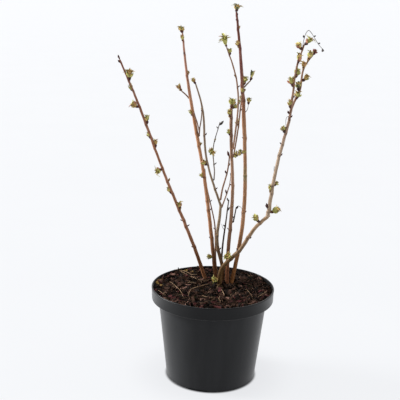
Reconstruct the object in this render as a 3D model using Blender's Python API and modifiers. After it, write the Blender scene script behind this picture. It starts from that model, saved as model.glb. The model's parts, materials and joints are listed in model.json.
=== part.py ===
"""A bare, budding false spiraea in a nursery pot, as separate solids.

The origin is the middle of the pot's underside, +Z is up and the plant is seen
looking along +Y. Sizes are written in millimetres and built in metres.
"""
import math

import bmesh
import bpy
import numpy
from mathutils import Matrix, Vector, noise

MM = 0.001
GAP = 0.3                     # clearance between pieces that touch

# The pot: a 5 litre container with a deep collar, a plain tapering wall and a foot ring.
POT_HEIGHT = 171.5
RIM_RADIUS = 111.5
COLLAR_RADIUS = 110.6         # at the collar's lower edge
COLLAR_DEPTH = 22.5
SHOULDER_RADIUS = 98.5        # the wall just under the collar
FOOT_RADIUS = 82.0
WALL = 1.6
LIP = 2.4
EDGE = 1.2                    # rounding of the rim and of the collar's lower edge
BASE_UNDERSIDE = 6.0
BASE_THICKNESS = 2.0
FOOT_WIDTH = 3.0
FOOT_ROUNDING = 3.0
BOSS_RADIUS = 14.0            # the middle of the base stands level with the foot ring
POT_STEPS = 56
NOTCH_COUNT = 3
NOTCH_MIDDLE = math.radians(-106.5)   # the notch left of the front
NOTCH_WIDTH = 38.0
NOTCH_HEIGHT = 3.5
HOLE_COUNT = 8
HOLE_RADIUS = 6.0
HOLE_CIRCLE = 58.0
HOLE_SIDES = 16
CUT_OVERRUN = 4.0

# The soil: level round the stems, lower and uneven towards the wall.
SOIL_TOP = 168.0
SOIL_EDGE_DROP = 3.5
SOIL_UNEVEN = 1.5
SOIL_BUMP_LENGTH = 24.0
BUMP_RISE = 3.0               # the bumps reach their full height a third of the way to the wall
CLUMP_MIDDLE = (8.0, 30.0)
CLUMP_RADIUS = 32.0
SOIL_STEPS = 40
SOIL_RINGS = 7

# How finely limbs are drawn, and how they are measured against each other.
STEM_SIDES = 8
POINT_SPACING = 34.0
TURN_PER_POINT = math.radians(6.0)
FEWEST_POINTS = 4
LENGTH_STEPS = 20
AXIS_STEPS = 300
HALVINGS = 40                 # enough to find a height on a limb to well under a micrometre
HEADING_STEP = 0.01
START_STEP = 0.001
DISC_POINTS = 16
DISC_RINGS = 4

# Stems that rise out of the soil. foot: where they leave it (x, y). tip: (x, y, z).
# bows: how far they swing from the straight line in one, two and three half waves.
# thick: diameters at the foot, half way and at the tip.
STEMS = {
    "stem_far_left": dict(
        foot=(-13.0, 42.0), tip=(-170.5, 5.0, 575.0),
        bows=[(1.0, 6.0, 0.0), (0.0, 0.0, 0.0), (1.5, 0.0, 0.0)], thick=(7.0, 4.8, 2.3)),
    "stem_left": dict(
        foot=(6.5, 36.0), tip=(-66.0, 80.0, 618.0),
        bows=[(2.0, 8.0, 0.0), (2.5, 0.0, 0.0), (-1.0, 0.0, 0.0)], thick=(7.2, 5.8, 2.4)),
    "stem_left_thin": dict(
        foot=(9.0, 46.0), tip=(-20.0, 71.0, 374.0),
        bows=[(4.5, 9.0, 0.0), (0.5, 0.0, 0.0), (-2.0, 0.0, 0.0)], thick=(3.2, 2.6, 1.8)),
    "stem_middle": dict(
        foot=(18.5, 31.0), tip=(10.5, 35.0, 314.5),
        bows=[(-6.0, 0.0, 0.0), (2.0, 0.0, 0.0), (2.0, 0.0, 0.0)], thick=(7.0, 6.2, 4.8)),
    "stem_centre": dict(
        foot=(26.5, 22.0), tip=(23.5, 32.0, 493.0),
        bows=[(5.0, 8.0, 0.0), (-0.5, 0.0, 0.0), (-1.5, 0.0, 0.0)], thick=(7.0, 6.1, 4.2)),
    "stem_tall": dict(
        foot=(34.5, 26.0), tip=(28.0, 55.0, 657.5),
        bows=[(22.0, 12.0, 0.0), (3.5, 0.0, 0.0), (1.5, 0.0, 0.0)], thick=(7.4, 6.4, 2.8)),
    "stem_dead_thin": dict(
        foot=(17.5, 44.0), tip=(25.5, 52.0, 321.0),
        bows=[(-3.5, 2.0, 0.0), (-1.0, 0.0, 0.0)], thick=(3.8, 3.2, 2.0)),
    "stem_right_foot": dict(
        foot=(12.5, 12.0), tip=(93.5, -10.0, 308.0),
        bows=[(-12.0, -4.0, 4.0), (-3.5, 0.0, 1.0), (-3.5, 0.0, 2.0)], thick=(6.6, 6.0, 5.2)),
}

# Limbs that carry on from the tip of another one.
CONTINUED = {
    "stem_right_rise": dict(
        after="stem_right_foot", tip=(120.5, -30.0, 483.5),
        bows=[(-3.5, 3.0, 0.0)], thick=(5.2, 4.6, 3.8)),
    "bough_right_outer": dict(
        after="stem_right_rise", tip=(156.5, -12.0, 592.0),
        bows=[(-4.0, 2.0, 0.0), (2.0, 0.0, 0.0), (-3.0, 0.0, 0.0)], thick=(3.4, 2.8, 1.9)),
    "bough_middle_left": dict(
        after="stem_middle", tip=(-39.5, 0.0, 537.0),
        bows=[(-5.0, 4.0, 0.0), (-4.5, 0.0, 0.0), (1.5, 0.0, 0.0)], thick=(4.4, 3.4, 2.0)),
}

# Limbs that leave another one at a height above the stand.
SHOOTS = {
    "bough_right_inner": dict(
        off="bough_right_outer", height=486.0, tip=(137.0, -42.0, 610.0),
        bows=[(-4.0, 2.0, 0.0), (1.5, 0.0, 0.0)], thick=(3.4, 2.8, 2.0)),
    "bough_middle": dict(
        off="bough_middle_left", height=318.0, tip=(24.0, 52.0, 404.5),
        bows=[(1.0, 1.0, 0.0), (-1.5, 0.0, 0.0)], thick=(3.4, 2.9, 2.4)),
    "bough_middle_right": dict(
        off="stem_middle", height=303.0, tip=(27.0, 54.0, 350.5),
        bows=[(0.5, 1.0, 0.0)], thick=(2.8, 2.4, 2.0)),
    "shoot_grey": dict(
        off="bough_middle_left", height=355.0, tip=(4.5, 20.0, 469.5),
        bows=[(-5.5, 3.0, 0.0), (2.0, 0.0, 0.0), (1.0, 0.0, 0.0)], thick=(2.4, 2.0, 1.3)),
    "shoot_long": dict(
        off="stem_centre", height=402.0, tip=(11.5, 10.0, 600.0),
        bows=[(15.5, -4.0, 0.0), (-2.5, 0.0, 0.0)], thick=(2.8, 2.4, 1.7)),
    "shoot_short": dict(
        off="stem_centre", height=392.0, tip=(41.5, 34.0, 518.5),
        bows=[(2.5, 8.0, 0.0)], thick=(2.6, 2.2, 1.7)),
    "stub_dead": dict(
        off="stem_centre", height=255.0, tip=(39.5, 36.0, 311.5),
        bows=[(0.5, 1.0, 0.0)], thick=(3.0, 2.6, 2.0)),
    "fork_foot": dict(
        off="stem_left", height=415.0, tip=(-31.5, 68.0, 444.0),
        bows=[(-0.5, 0.0, 0.0)], thick=(2.6, 2.4, 2.2)),
    "twig_left": dict(
        off="stem_left", height=496.0, tip=(-65.5, 80.0, 515.0),
        bows=[(2.5, 0.0, 0.0)], thick=(2.2, 2.0, 1.8)),
    "twig_tall": dict(
        off="stem_tall", height=524.0, tip=(57.0, 52.0, 540.0),
        bows=[(-0.5, 0.0, 0.0)], thick=(2.2, 2.0, 1.8)),
    "twig_dead_arch": dict(
        off="bough_right_inner", height=602.0, tip=(169.0, -38.0, 603.5),
        bows=[(-4.5, 6.0, 25.0), (-1.5, 2.0, 5.0), (0.0, 0.0, -1.5)], thick=(1.6, 1.4, 1.2)),
}
FORKS = {
    "fork_left": dict(
        after="fork_foot", tip=(-42.5, 60.0, 480.0), bows=[(0.5, 0.0, 0.0)], thick=(1.9, 1.7, 1.5)),
    "fork_right": dict(
        off="fork_left", height=446.0, tip=(-28.0, 74.0, 480.5),
        bows=[(1.0, 0.0, 0.0)], thick=(1.9, 1.7, 1.5)),
}

# Tufts of opening leaves at a limb's tip: the way they point, their length and width.
TIP_TUFTS = {
    "tuft_tall": dict(on="stem_tall", way=(0.15, 0.0, 1.0), size=(15.0, 15.0)),
    "tuft_shoot_long": dict(on="shoot_long", way=(-0.35, -0.1, 1.0), size=(24.0, 18.0)),
    "tuft_centre": dict(on="stem_centre", way=(0.35, 0.0, 1.0), size=(17.0, 14.0)),
    "tuft_left": dict(on="stem_left", way=(-0.3, 0.0, 1.0), size=(14.0, 10.0)),
    "tuft_far_left": dict(on="stem_far_left", way=(-0.3, 0.0, 1.0), size=(8.0, 5.5)),
    "tuft_right_outer": dict(on="bough_right_outer", way=(0.5, 0.3, 1.0), size=(10.0, 9.0)),
    "tuft_twig_left": dict(on="twig_left", way=(-0.75, 0.0, 1.0), size=(15.0, 7.5)),
    "tuft_twig_tall": dict(on="twig_tall", way=(0.2, 0.0, 1.0), size=(20.0, 9.0)),
    "tuft_middle_left": dict(on="bough_middle_left", way=(-0.75, 0.0, 1.0), size=(12.0, 8.0)),
    "tuft_fork_right": dict(on="fork_right", way=(0.1, 0.0, 1.0), size=(7.0, 5.0)),
    "tuft_shoot_short": dict(on="shoot_short", way=(0.0, 0.0, 1.0), size=(10.0, 5.5)),
    "tuft_right_inner": dict(on="bough_right_inner", way=(1.0, -0.3, 0.6), size=(18.0, 12.0)),
}
# Tufts that sit on the side of a limb, at a height above the stand.
SIDE_TUFTS = {
    "tuft_bend_left": dict(
        on="stem_right_foot", height=294.0, way=(-0.5, -0.2, 1.0), size=(18.0, 12.0)),
    "tuft_bend_right": dict(
        on="stem_right_rise", height=313.0, way=(1.0, -0.1, 0.75), size=(21.0, 12.0)),
    "tuft_centre_side": dict(
        on="stem_centre", height=402.0, way=(1.0, -0.5, 1.0), size=(24.0, 10.0)),
    "tuft_grey_side": dict(
        on="shoot_grey", height=412.0, way=(-0.25, -1.0, 0.5), size=(12.0, 13.0)),
    "tuft_far_left_low": dict(
        on="stem_far_left", height=377.0, way=(-1.0, -0.3, 0.15), size=(12.0, 14.0)),
    "tuft_far_left_high": dict(
        on="stem_far_left", height=491.0, way=(-1.0, -0.2, 1.0), size=(17.0, 11.0)),
    "tuft_left_foot": dict(
        on="stem_left", height=211.0, way=(-1.0, -0.1, 0.1), size=(9.0, 9.0)),
    "tuft_front_foot": dict(
        on="stem_right_foot", height=177.0, way=(-1.0, -0.3, 0.25), size=(11.0, 11.0)),
    "tuft_crossing": dict(
        on="stem_right_foot", height=222.5, way=(-0.35, -0.8, 0.9), size=(14.0, 11.0)),
    "tuft_inner_low": dict(
        on="bough_right_inner", height=600.0, way=(-0.3, -0.35, 1.0), size=(15.0, 9.0)),
    "tuft_outer_low": dict(
        on="bough_right_outer", height=547.0, way=(0.65, 0.2, 1.0), size=(16.0, 9.0)),
}
TUFT_LOBES = 0.16             # how uneven a tuft is, as a share of its radius
TUFT_LOBE_COUNT = 1.6         # how many lobes lie across a tuft
TUFT_LIKENESS = 0.2           # the lower, the more alike neighbouring tufts are
TUFT_SEAT_WIDTH = 0.75        # a tuft's width at its seat, as a share of its width at the top
TUFT_SEAT = 0.72              # how far below its middle a tuft is cut flat, as a share of its radius
LARGE_TUFT = 18.5             # from this length on a tuft has the finer mesh
SEAT_STEP = 0.1

BLACK_PLASTIC = ((0.022, 0.023, 0.025), 0.42)
DARK_SOIL = ((0.030, 0.018, 0.012), 0.95)
BROWN_BARK = ((0.220, 0.105, 0.050), 0.75)
GREY_BARK = ((0.070, 0.055, 0.045), 0.85)
BUD_GREEN = ((0.330, 0.330, 0.080), 0.65)
DEAD_LIMBS = ("stem_dead_thin", "stub_dead", "shoot_grey", "twig_dead_arch")


class Limb:
    """One tapering limb: its axis and its radius, by the fraction of the way to its tip."""

    def __init__(self, foot, tip, bows, thick):
        self.foot = Vector(foot)
        self.tip = Vector(tip)
        self.bows = [Vector(bow) for bow in bows]
        self.thick = thick
        self.start = 0.0

    def at(self, t):
        point = self.foot.lerp(self.tip, t)
        for half_waves, bow in enumerate(self.bows, start=1):
            point += bow * math.sin(half_waves * math.pi * t)
        return point

    def radius(self, t):
        foot, middle, tip = self.thick
        return 0.5 * (foot * (1 - t) * (1 - 2 * t) + middle * 4 * t * (1 - t) + tip * t * (2 * t - 1))

    def heading(self, t):
        ahead = self.at(min(t + HEADING_STEP, 1.0))
        behind = self.at(max(t - HEADING_STEP, 0.0))
        return (ahead - behind).normalized()

    def fraction_at(self, height):
        low, high = 0.0, 1.0
        for _ in range(HALVINGS):
            middle = 0.5 * (low + high)
            if self.at(middle).z < height:
                low = middle
            else:
                high = middle
        return 0.5 * (low + high)

    def clear_of(self, points):
        """The least room between any of the points and this limb's skin."""
        fractions = [i / AXIS_STEPS for i in range(AXIS_STEPS + 1)]
        axis = numpy.array([self.at(t) for t in fractions])
        radii = numpy.array([self.radius(t) for t in fractions])
        away = numpy.array(points)[:, None, :] - axis[None, :, :]
        return float((numpy.linalg.norm(away, axis=2) - radii).min())


def new_material(name, look):
    color, roughness = look
    material = bpy.data.materials.new(name)
    material.use_nodes = True
    surface = material.node_tree.nodes["Principled BSDF"]
    surface.inputs["Base Color"].default_value = (*color, 1.0)
    surface.inputs["Roughness"].default_value = roughness
    return material


def add_object(name, data, collection, material=None):
    obj = bpy.data.objects.new(name, data)
    collection.objects.link(obj)
    if material:
        data.materials.append(material)
    return obj


def turned(name, profile, steps, collection, material):
    """A profile of (radius, height) from the axis round to the axis, turned about Z."""
    mesh = bpy.data.meshes.new(name)
    points = [(radius * MM, 0.0, height * MM) for radius, height in profile]
    edges = [(i, i + 1) for i in range(len(points) - 1)]
    mesh.from_pydata(points, edges, [])
    obj = add_object(name, mesh, collection, material)
    screw = obj.modifiers.new("turn", "SCREW")
    screw.steps = steps
    screw.render_steps = steps
    screw.use_merge_vertices = True
    screw.merge_threshold = 0.00001
    return obj


def shoulder_height():
    return POT_HEIGHT - COLLAR_DEPTH


def wall_radius(height):
    """Outer radius of the wall below the collar."""
    share = (height - FOOT_ROUNDING) / (shoulder_height() - FOOT_ROUNDING)
    return FOOT_RADIUS + (SHOULDER_RADIUS - FOOT_RADIUS) * share


def pot_profile():
    base_top = BASE_UNDERSIDE + BASE_THICKNESS
    ledge = shoulder_height()
    inner = [
        (0.0, base_top),
        (wall_radius(base_top) - WALL - 2 * EDGE, base_top),
        (wall_radius(base_top) - WALL, base_top + 2 * EDGE),
        (wall_radius(ledge) - WALL, ledge + WALL - EDGE),
        (wall_radius(ledge) - WALL + EDGE, ledge + WALL),
        (COLLAR_RADIUS - WALL - EDGE, ledge + WALL),
        (COLLAR_RADIUS - WALL, ledge + WALL + EDGE),
        (RIM_RADIUS - LIP, POT_HEIGHT - 2 * LIP),
        (RIM_RADIUS - LIP, POT_HEIGHT - EDGE / 2),
        (RIM_RADIUS - LIP + EDGE / 2, POT_HEIGHT),
    ]
    outer = [
        (RIM_RADIUS - EDGE / 2, POT_HEIGHT),
        (RIM_RADIUS, POT_HEIGHT - EDGE / 2),
        (COLLAR_RADIUS, ledge + EDGE),
        (COLLAR_RADIUS - EDGE, ledge),
        (SHOULDER_RADIUS, ledge),
    ]
    foot = [
        (FOOT_RADIUS, FOOT_ROUNDING),
        (FOOT_RADIUS - FOOT_ROUNDING / 4, FOOT_ROUNDING / 4),
        (FOOT_RADIUS - FOOT_ROUNDING / 2, 0.0),
        (FOOT_RADIUS - FOOT_ROUNDING / 2 - FOOT_WIDTH, 0.0),
        (FOOT_RADIUS - FOOT_ROUNDING / 2 - FOOT_WIDTH, BASE_UNDERSIDE),
        (BOSS_RADIUS, BASE_UNDERSIDE),
        (BOSS_RADIUS, 0.0),
        (0.0, 0.0),
    ]
    return inner + outer + foot


def cut(target, cutters, name, shape, radius, angle, height):
    """Takes a shape out of the target, at a radius and an angle round the pot."""
    mesh = bpy.data.meshes.new(name)
    shape.to_mesh(mesh)
    shape.free()
    cutter = add_object(name, mesh, cutters)
    cutter.location = (radius * MM * math.cos(angle), radius * MM * math.sin(angle), height * MM)
    cutter.rotation_euler = (0.0, 0.0, angle)
    cutter.hide_render = True
    cutter.display_type = "WIRE"
    boolean = target.modifiers.new(name, "BOOLEAN")
    boolean.operation = "DIFFERENCE"
    boolean.solver = "EXACT"
    boolean.object = cutter


def add_pot(collection, cutters, material):
    pot = turned("pot", pot_profile(), POT_STEPS, collection, material)
    for i in range(HOLE_COUNT):
        angle = (i + 0.5) * math.tau / HOLE_COUNT
        shape = bmesh.new()
        bmesh.ops.create_cone(
            shape, cap_ends=True, segments=HOLE_SIDES, radius1=HOLE_RADIUS * MM,
            radius2=HOLE_RADIUS * MM, depth=(BASE_THICKNESS + 2 * CUT_OVERRUN) * MM)
        middle = BASE_UNDERSIDE + BASE_THICKNESS / 2
        cut(pot, cutters, f"hole_{i + 1}", shape, HOLE_CIRCLE, angle, middle)
    for i in range(NOTCH_COUNT):
        angle = NOTCH_MIDDLE + i * math.tau / NOTCH_COUNT
        depth = FOOT_WIDTH + 2 * CUT_OVERRUN
        height = NOTCH_HEIGHT + CUT_OVERRUN
        shape = bmesh.new()
        bmesh.ops.create_cube(shape, size=1.0)
        bmesh.ops.scale(shape, vec=(depth * MM, NOTCH_WIDTH * MM, height * MM), verts=shape.verts)
        reach = FOOT_RADIUS - FOOT_WIDTH / 2 - FOOT_ROUNDING / 2
        cut(pot, cutters, f"notch_{i + 1}", shape, reach, angle, NOTCH_HEIGHT - height / 2)
    return pot


def soil_top(x, y):
    """Height of the soil: level round the clump, then falling and uneven to the wall."""
    away = math.hypot(x - CLUMP_MIDDLE[0], y - CLUMP_MIDDLE[1]) - CLUMP_RADIUS
    if away <= 0.0:
        return SOIL_TOP
    share = min(away / (RIM_RADIUS - CLUMP_RADIUS), 1.0)
    bump = SOIL_UNEVEN * noise.noise(Vector((x, y, SOIL_TOP)) / SOIL_BUMP_LENGTH)
    return SOIL_TOP - SOIL_EDGE_DROP * share + bump * min(BUMP_RISE * share, 1.0)


def add_soil(collection, material):
    base = BASE_UNDERSIDE + BASE_THICKNESS + GAP
    ledge = shoulder_height()
    edge_radius = COLLAR_RADIUS - WALL - GAP
    edge_height = SOIL_TOP - SOIL_EDGE_DROP
    top = [(edge_radius * i / SOIL_RINGS, SOIL_TOP) for i in range(SOIL_RINGS)]
    side = [
        (edge_radius, edge_height),
        (edge_radius, ledge + WALL + EDGE + GAP),
        (edge_radius - EDGE, ledge + WALL + GAP),
        (wall_radius(ledge) - WALL + EDGE - GAP, ledge + WALL + GAP),
        (wall_radius(ledge) - WALL - GAP, ledge + WALL - EDGE),
        (wall_radius(base) - WALL - GAP, base + 2 * EDGE),
        (wall_radius(base) - WALL - 2 * EDGE - GAP, base),
        (0.0, base),
    ]
    turned_soil = turned("soil_turned", top + side, SOIL_STEPS, collection, material)
    bpy.context.view_layer.update()
    evaluated = turned_soil.evaluated_get(bpy.context.evaluated_depsgraph_get())
    mesh = bpy.data.meshes.new_from_object(evaluated)
    bpy.data.objects.remove(turned_soil)
    for vertex in mesh.vertices:
        if vertex.co.z > (edge_height - GAP) * MM:
            vertex.co.z = soil_top(vertex.co.x / MM, vertex.co.y / MM) * MM
    obj = bpy.data.objects.new("soil", mesh)
    collection.objects.link(obj)
    return obj


def add_limb(name, limb, collection, material):
    """A tapering tube with closed ends along the limb's axis."""
    marks = [i / LENGTH_STEPS for i in range(LENGTH_STEPS + 1)]
    length = sum((limb.at(b) - limb.at(a)).length for a, b in zip(marks, marks[1:]))
    turning = sum(limb.heading(a).angle(limb.heading(b)) for a, b in zip(marks, marks[1:]))
    count = max(FEWEST_POINTS, round(length / POINT_SPACING), round(turning / TURN_PER_POINT))
    curve = bpy.data.curves.new(name, "CURVE")
    curve.dimensions = "3D"
    curve.bevel_depth = MM
    curve.bevel_resolution = (STEM_SIDES - 4) // 2
    curve.use_fill_caps = True
    spline = curve.splines.new("POLY")
    spline.points.add(count)
    for i, point in enumerate(spline.points):
        t = limb.start + (1.0 - limb.start) * i / count
        point.co = (*(limb.at(t) * MM), 1.0)
        point.radius = limb.radius(t)
    return add_object(name, curve, collection, material)


def grow_limbs():
    """Every limb by name, each starting just clear of what carries it."""
    limbs = {}
    for name, size in STEMS.items():
        foot = Vector((*size["foot"], SOIL_TOP))
        limb = Limb(foot, size["tip"], size["bows"], size["thick"])
        limbs[name] = start_beyond(limb, foot, Vector((0.0, 0.0, 1.0)), RIM_RADIUS)
    for name, size in {**CONTINUED, **SHOOTS, **FORKS}.items():
        if "after" in size:
            limbs[name] = continue_limb(limbs[size["after"]], size)
        else:
            limbs[name] = branch_limb(limbs[size["off"]], size)
    return limbs


def start_beyond(limb, point, normal, radius):
    """Moves the limb's start along until its end disc is clear of another disc, or of level ground."""
    while True:
        way = limb.heading(limb.start)
        side = way.orthogonal().normalized()
        room = GAP
        for i in range(DISC_POINTS * DISC_RINGS):
            turn = Matrix.Rotation(i * math.tau / DISC_POINTS, 3, way)
            reach = limb.radius(limb.start) * (1 + i // DISC_POINTS) / DISC_RINGS
            offset = limb.at(limb.start) + turn @ side * reach - point
            height = offset.dot(normal)
            beside = max((offset - normal * height).length - radius, 0.0)
            room = min(room, beside if height < 0.0 else math.hypot(height, beside))
        if room >= GAP:
            return limb
        limb.start += START_STEP


def continue_limb(parent, size):
    limb = Limb(parent.tip, size["tip"], size["bows"], size["thick"])
    return start_beyond(limb, parent.tip, parent.heading(1.0), parent.radius(1.0))


def branch_limb(parent, size):
    foot = parent.at(parent.fraction_at(size["height"]))
    limb = Limb(foot, size["tip"], size["bows"], size["thick"])
    while parent.clear_of([limb.at(limb.start)]) < GAP + limb.radius(limb.start):
        limb.start += START_STEP
    return limb


def tuft_shape(seat, way, size):
    """An uneven, closed bunch of young leaves with a flat seat, growing along its way."""
    length, width = size
    shape = bmesh.new()
    bmesh.ops.create_icosphere(shape, subdivisions=3 if length > LARGE_TUFT else 2, radius=1.0)
    place = Vector(seat) * TUFT_LIKENESS
    for vertex in shape.verts:
        vertex.co *= 1.0 + TUFT_LOBES * noise.noise(vertex.co * TUFT_LOBE_COUNT + place)
        share = 0.5 * (vertex.co.z + 1.0)
        reach = 0.5 * width * (TUFT_SEAT_WIDTH + (1.0 - TUFT_SEAT_WIDTH) * share)
        vertex.co.x *= reach
        vertex.co.y *= reach
        vertex.co.z = max(vertex.co.z + TUFT_SEAT, 0.0) * length / (1.0 + TUFT_SEAT)
    turn = way.to_track_quat("Z", "X").to_matrix().to_4x4()
    bmesh.ops.transform(shape, matrix=Matrix.Translation(seat) @ turn, verts=shape.verts)
    return shape


def skin_points(shape):
    corners = [vertex.co for vertex in shape.verts]
    edges = [0.5 * (edge.verts[0].co + edge.verts[1].co) for edge in shape.edges]
    faces = [face.calc_center_median() for face in shape.faces]
    return corners + edges + faces


def add_tip_tuft(name, limb, way, size, collection, material):
    """A tuft seated just beyond the limb's end."""
    slant = way.cross(limb.heading(1.0)).length
    seat = limb.at(1.0) + limb.heading(1.0) * (GAP + limb.radius(1.0) * slant)
    return add_tuft(name, tuft_shape(seat, way, size), collection, material)


def add_side_tuft(name, limb, height, way, size, collection, material):
    """A tuft on the limb's side, moved out until all of it is just clear of the bark."""
    t = limb.fraction_at(height)
    along = limb.heading(t)
    out = (way - along * way.dot(along)).normalized()
    shape = tuft_shape(limb.at(t) + out * limb.radius(t), way, size)
    room = limb.clear_of(skin_points(shape))
    while room < GAP:
        bmesh.ops.translate(shape, vec=out * SEAT_STEP, verts=shape.verts)
        room = limb.clear_of(skin_points(shape))
    return add_tuft(name, shape, collection, material)


def add_tuft(name, shape, collection, material):
    bmesh.ops.scale(shape, vec=(MM, MM, MM), verts=shape.verts)
    mesh = bpy.data.meshes.new(name)
    shape.to_mesh(mesh)
    shape.free()
    return add_object(name, mesh, collection, material)


def main():
    for obj in list(bpy.data.objects):
        bpy.data.objects.remove(obj)
    plant = bpy.data.collections.new("potted_false_spiraea")
    cutters = bpy.data.collections.new("cutters")
    bpy.context.scene.collection.children.link(plant)
    bpy.context.scene.collection.children.link(cutters)

    add_pot(plant, cutters, new_material("black_plastic", BLACK_PLASTIC))
    add_soil(plant, new_material("dark_soil", DARK_SOIL))

    brown = new_material("brown_bark", BROWN_BARK)
    grey = new_material("grey_bark", GREY_BARK)
    limbs = grow_limbs()
    for name, limb in limbs.items():
        add_limb(name, limb, plant, grey if name in DEAD_LIMBS else brown)

    green = new_material("bud_green", BUD_GREEN)
    for name, tuft in TIP_TUFTS.items():
        way = Vector(tuft["way"]).normalized()
        add_tip_tuft(name, limbs[tuft["on"]], way, tuft["size"], plant, green)
    for name, tuft in SIDE_TUFTS.items():
        way = Vector(tuft["way"]).normalized()
        limb = limbs[tuft["on"]]
        add_side_tuft(name, limb, tuft["height"], way, tuft["size"], plant, green)


main()
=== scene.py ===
import json
import math
import random

import bmesh
import bpy
import numpy as np
from mathutils import Matrix, Vector, noise

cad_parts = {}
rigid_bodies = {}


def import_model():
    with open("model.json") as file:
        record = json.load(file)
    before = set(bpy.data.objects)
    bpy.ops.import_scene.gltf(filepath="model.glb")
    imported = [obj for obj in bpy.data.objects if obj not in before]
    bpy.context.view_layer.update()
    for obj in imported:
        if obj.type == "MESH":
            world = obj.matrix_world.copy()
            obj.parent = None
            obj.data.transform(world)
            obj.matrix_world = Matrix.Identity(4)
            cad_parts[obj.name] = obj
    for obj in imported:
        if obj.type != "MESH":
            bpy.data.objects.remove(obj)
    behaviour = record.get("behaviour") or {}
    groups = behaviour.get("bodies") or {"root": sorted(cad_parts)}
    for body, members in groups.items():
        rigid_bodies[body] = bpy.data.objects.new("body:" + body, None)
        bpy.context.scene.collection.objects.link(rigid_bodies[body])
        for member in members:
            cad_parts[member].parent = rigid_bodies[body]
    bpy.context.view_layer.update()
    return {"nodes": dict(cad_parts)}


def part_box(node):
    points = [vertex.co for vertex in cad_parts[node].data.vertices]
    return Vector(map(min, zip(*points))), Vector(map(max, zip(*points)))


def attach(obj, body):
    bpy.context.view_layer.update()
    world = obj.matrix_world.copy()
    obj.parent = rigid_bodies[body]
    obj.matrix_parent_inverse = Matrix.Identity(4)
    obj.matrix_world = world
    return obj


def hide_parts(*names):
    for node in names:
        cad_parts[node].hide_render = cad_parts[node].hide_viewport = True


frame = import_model()
mm = 0.001
up = Vector((0, 0, 1))


# One socket of a node tree, so that sums on it can be written plainly.
class Signal:
    def __init__(self, net, socket):
        self.net = net
        self.socket = socket

    def of(self, name):      # another output of the same node
        return Signal(self.net, pickSocket(self.socket.node.outputs, name))

    def __add__(self, other):
        return self.net.maths("ADD", self, other)

    def __sub__(self, other):
        return self.net.maths("SUBTRACT", self, other)

    def __rsub__(self, other):
        return self.net.maths("SUBTRACT", other, self)

    def __mul__(self, other):
        return self.net.maths("MULTIPLY", self, other)

    __radd__ = __add__
    __rmul__ = __mul__

    def between(self, low, high):      # 0 below low, 1 above high, smooth in between
        values = {"Value": self, "From Min": low, "From Max": high}
        return self.net.node("ShaderNodeMapRange", {"interpolation_type": "SMOOTHSTEP"}, values)


def pickSocket(sockets, key):
    if isinstance(key, int):
        return sockets[key]
    return next(s for s in sockets if s.enabled and s.name == key)


# A node tree of either kind: every node comes from the one method.
class Net:
    def __init__(self, tree):
        self.tree = tree

    def node(self, kind, settings=None, values=None):
        made = self.tree.nodes.new(kind)
        for key, value in (settings or {}).items():
            setattr(made, key, value)
        for key, value in (values or {}).items():
            socket = pickSocket(made.inputs, key)
            if isinstance(value, Signal):
                self.tree.links.new(value.socket, socket)
            elif socket.type == "RGBA" and len(value) == 3:
                socket.default_value = (*value, 1)
            else:
                socket.default_value = value
        outputs = [s for s in made.outputs if s.enabled]
        return Signal(self, outputs[0] if outputs else made.inputs[0])

    def maths(self, operation, a, b):
        return self.node("ShaderNodeMath", {"operation": operation}, {0: a, 1: b})

    def vector(self, operation, a, b):
        return self.node("ShaderNodeVectorMath", {"operation": operation}, {0: a, 1: b})

    def scaled(self, a, share):
        return self.node("ShaderNodeVectorMath", {"operation": "SCALE"}, {0: a, "Scale": share})

    def split(self, a):
        return self.node("ShaderNodeSeparateXYZ", {}, {0: a})

    def mix(self, share, a, b):        # two colours
        return self.node("ShaderNodeMix", {"data_type": "RGBA"}, {"Factor": share, "A": a, "B": b})

    def layered(self, color, layers):      # colours over one another, each with its share
        for share, tone in layers:
            color = self.mix(share, color, tone)
        return color

    def noise(self, place, scale, detail=3.0, rough=0.55):
        values = {"Vector": place, "Scale": scale, "Detail": detail, "Roughness": rough}
        return self.node("ShaderNodeTexNoise", {}, values)

    def stretched(self, place, rates, detail, rough=0.55):      # noise with its own rate along each axis
        return self.noise(self.vector("MULTIPLY", place, rates), 1.0, detail, rough)


# Materials

def newFinish(name, fixed):
    material = bpy.data.materials.new(name)
    material.use_nodes = True
    net = Net(material.node_tree)
    for key, value in fixed.items():
        net.tree.nodes["Principled BSDF"].inputs[key].default_value = value
    return material, net, net.node("ShaderNodeTexCoord").of("Object")


def fed(material, net, signals):
    for key, signal in signals.items():
        net.tree.links.new(signal.socket, net.tree.nodes["Principled BSDF"].inputs[key])
    return material


def bump(net, height, depth, strength=1.0):
    return net.node("ShaderNodeBump", {}, {"Height": height, "Distance": depth, "Strength": strength})


def shade(tone, rate, least=0.0):
    return [least + rate * c for c in tone]


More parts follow.
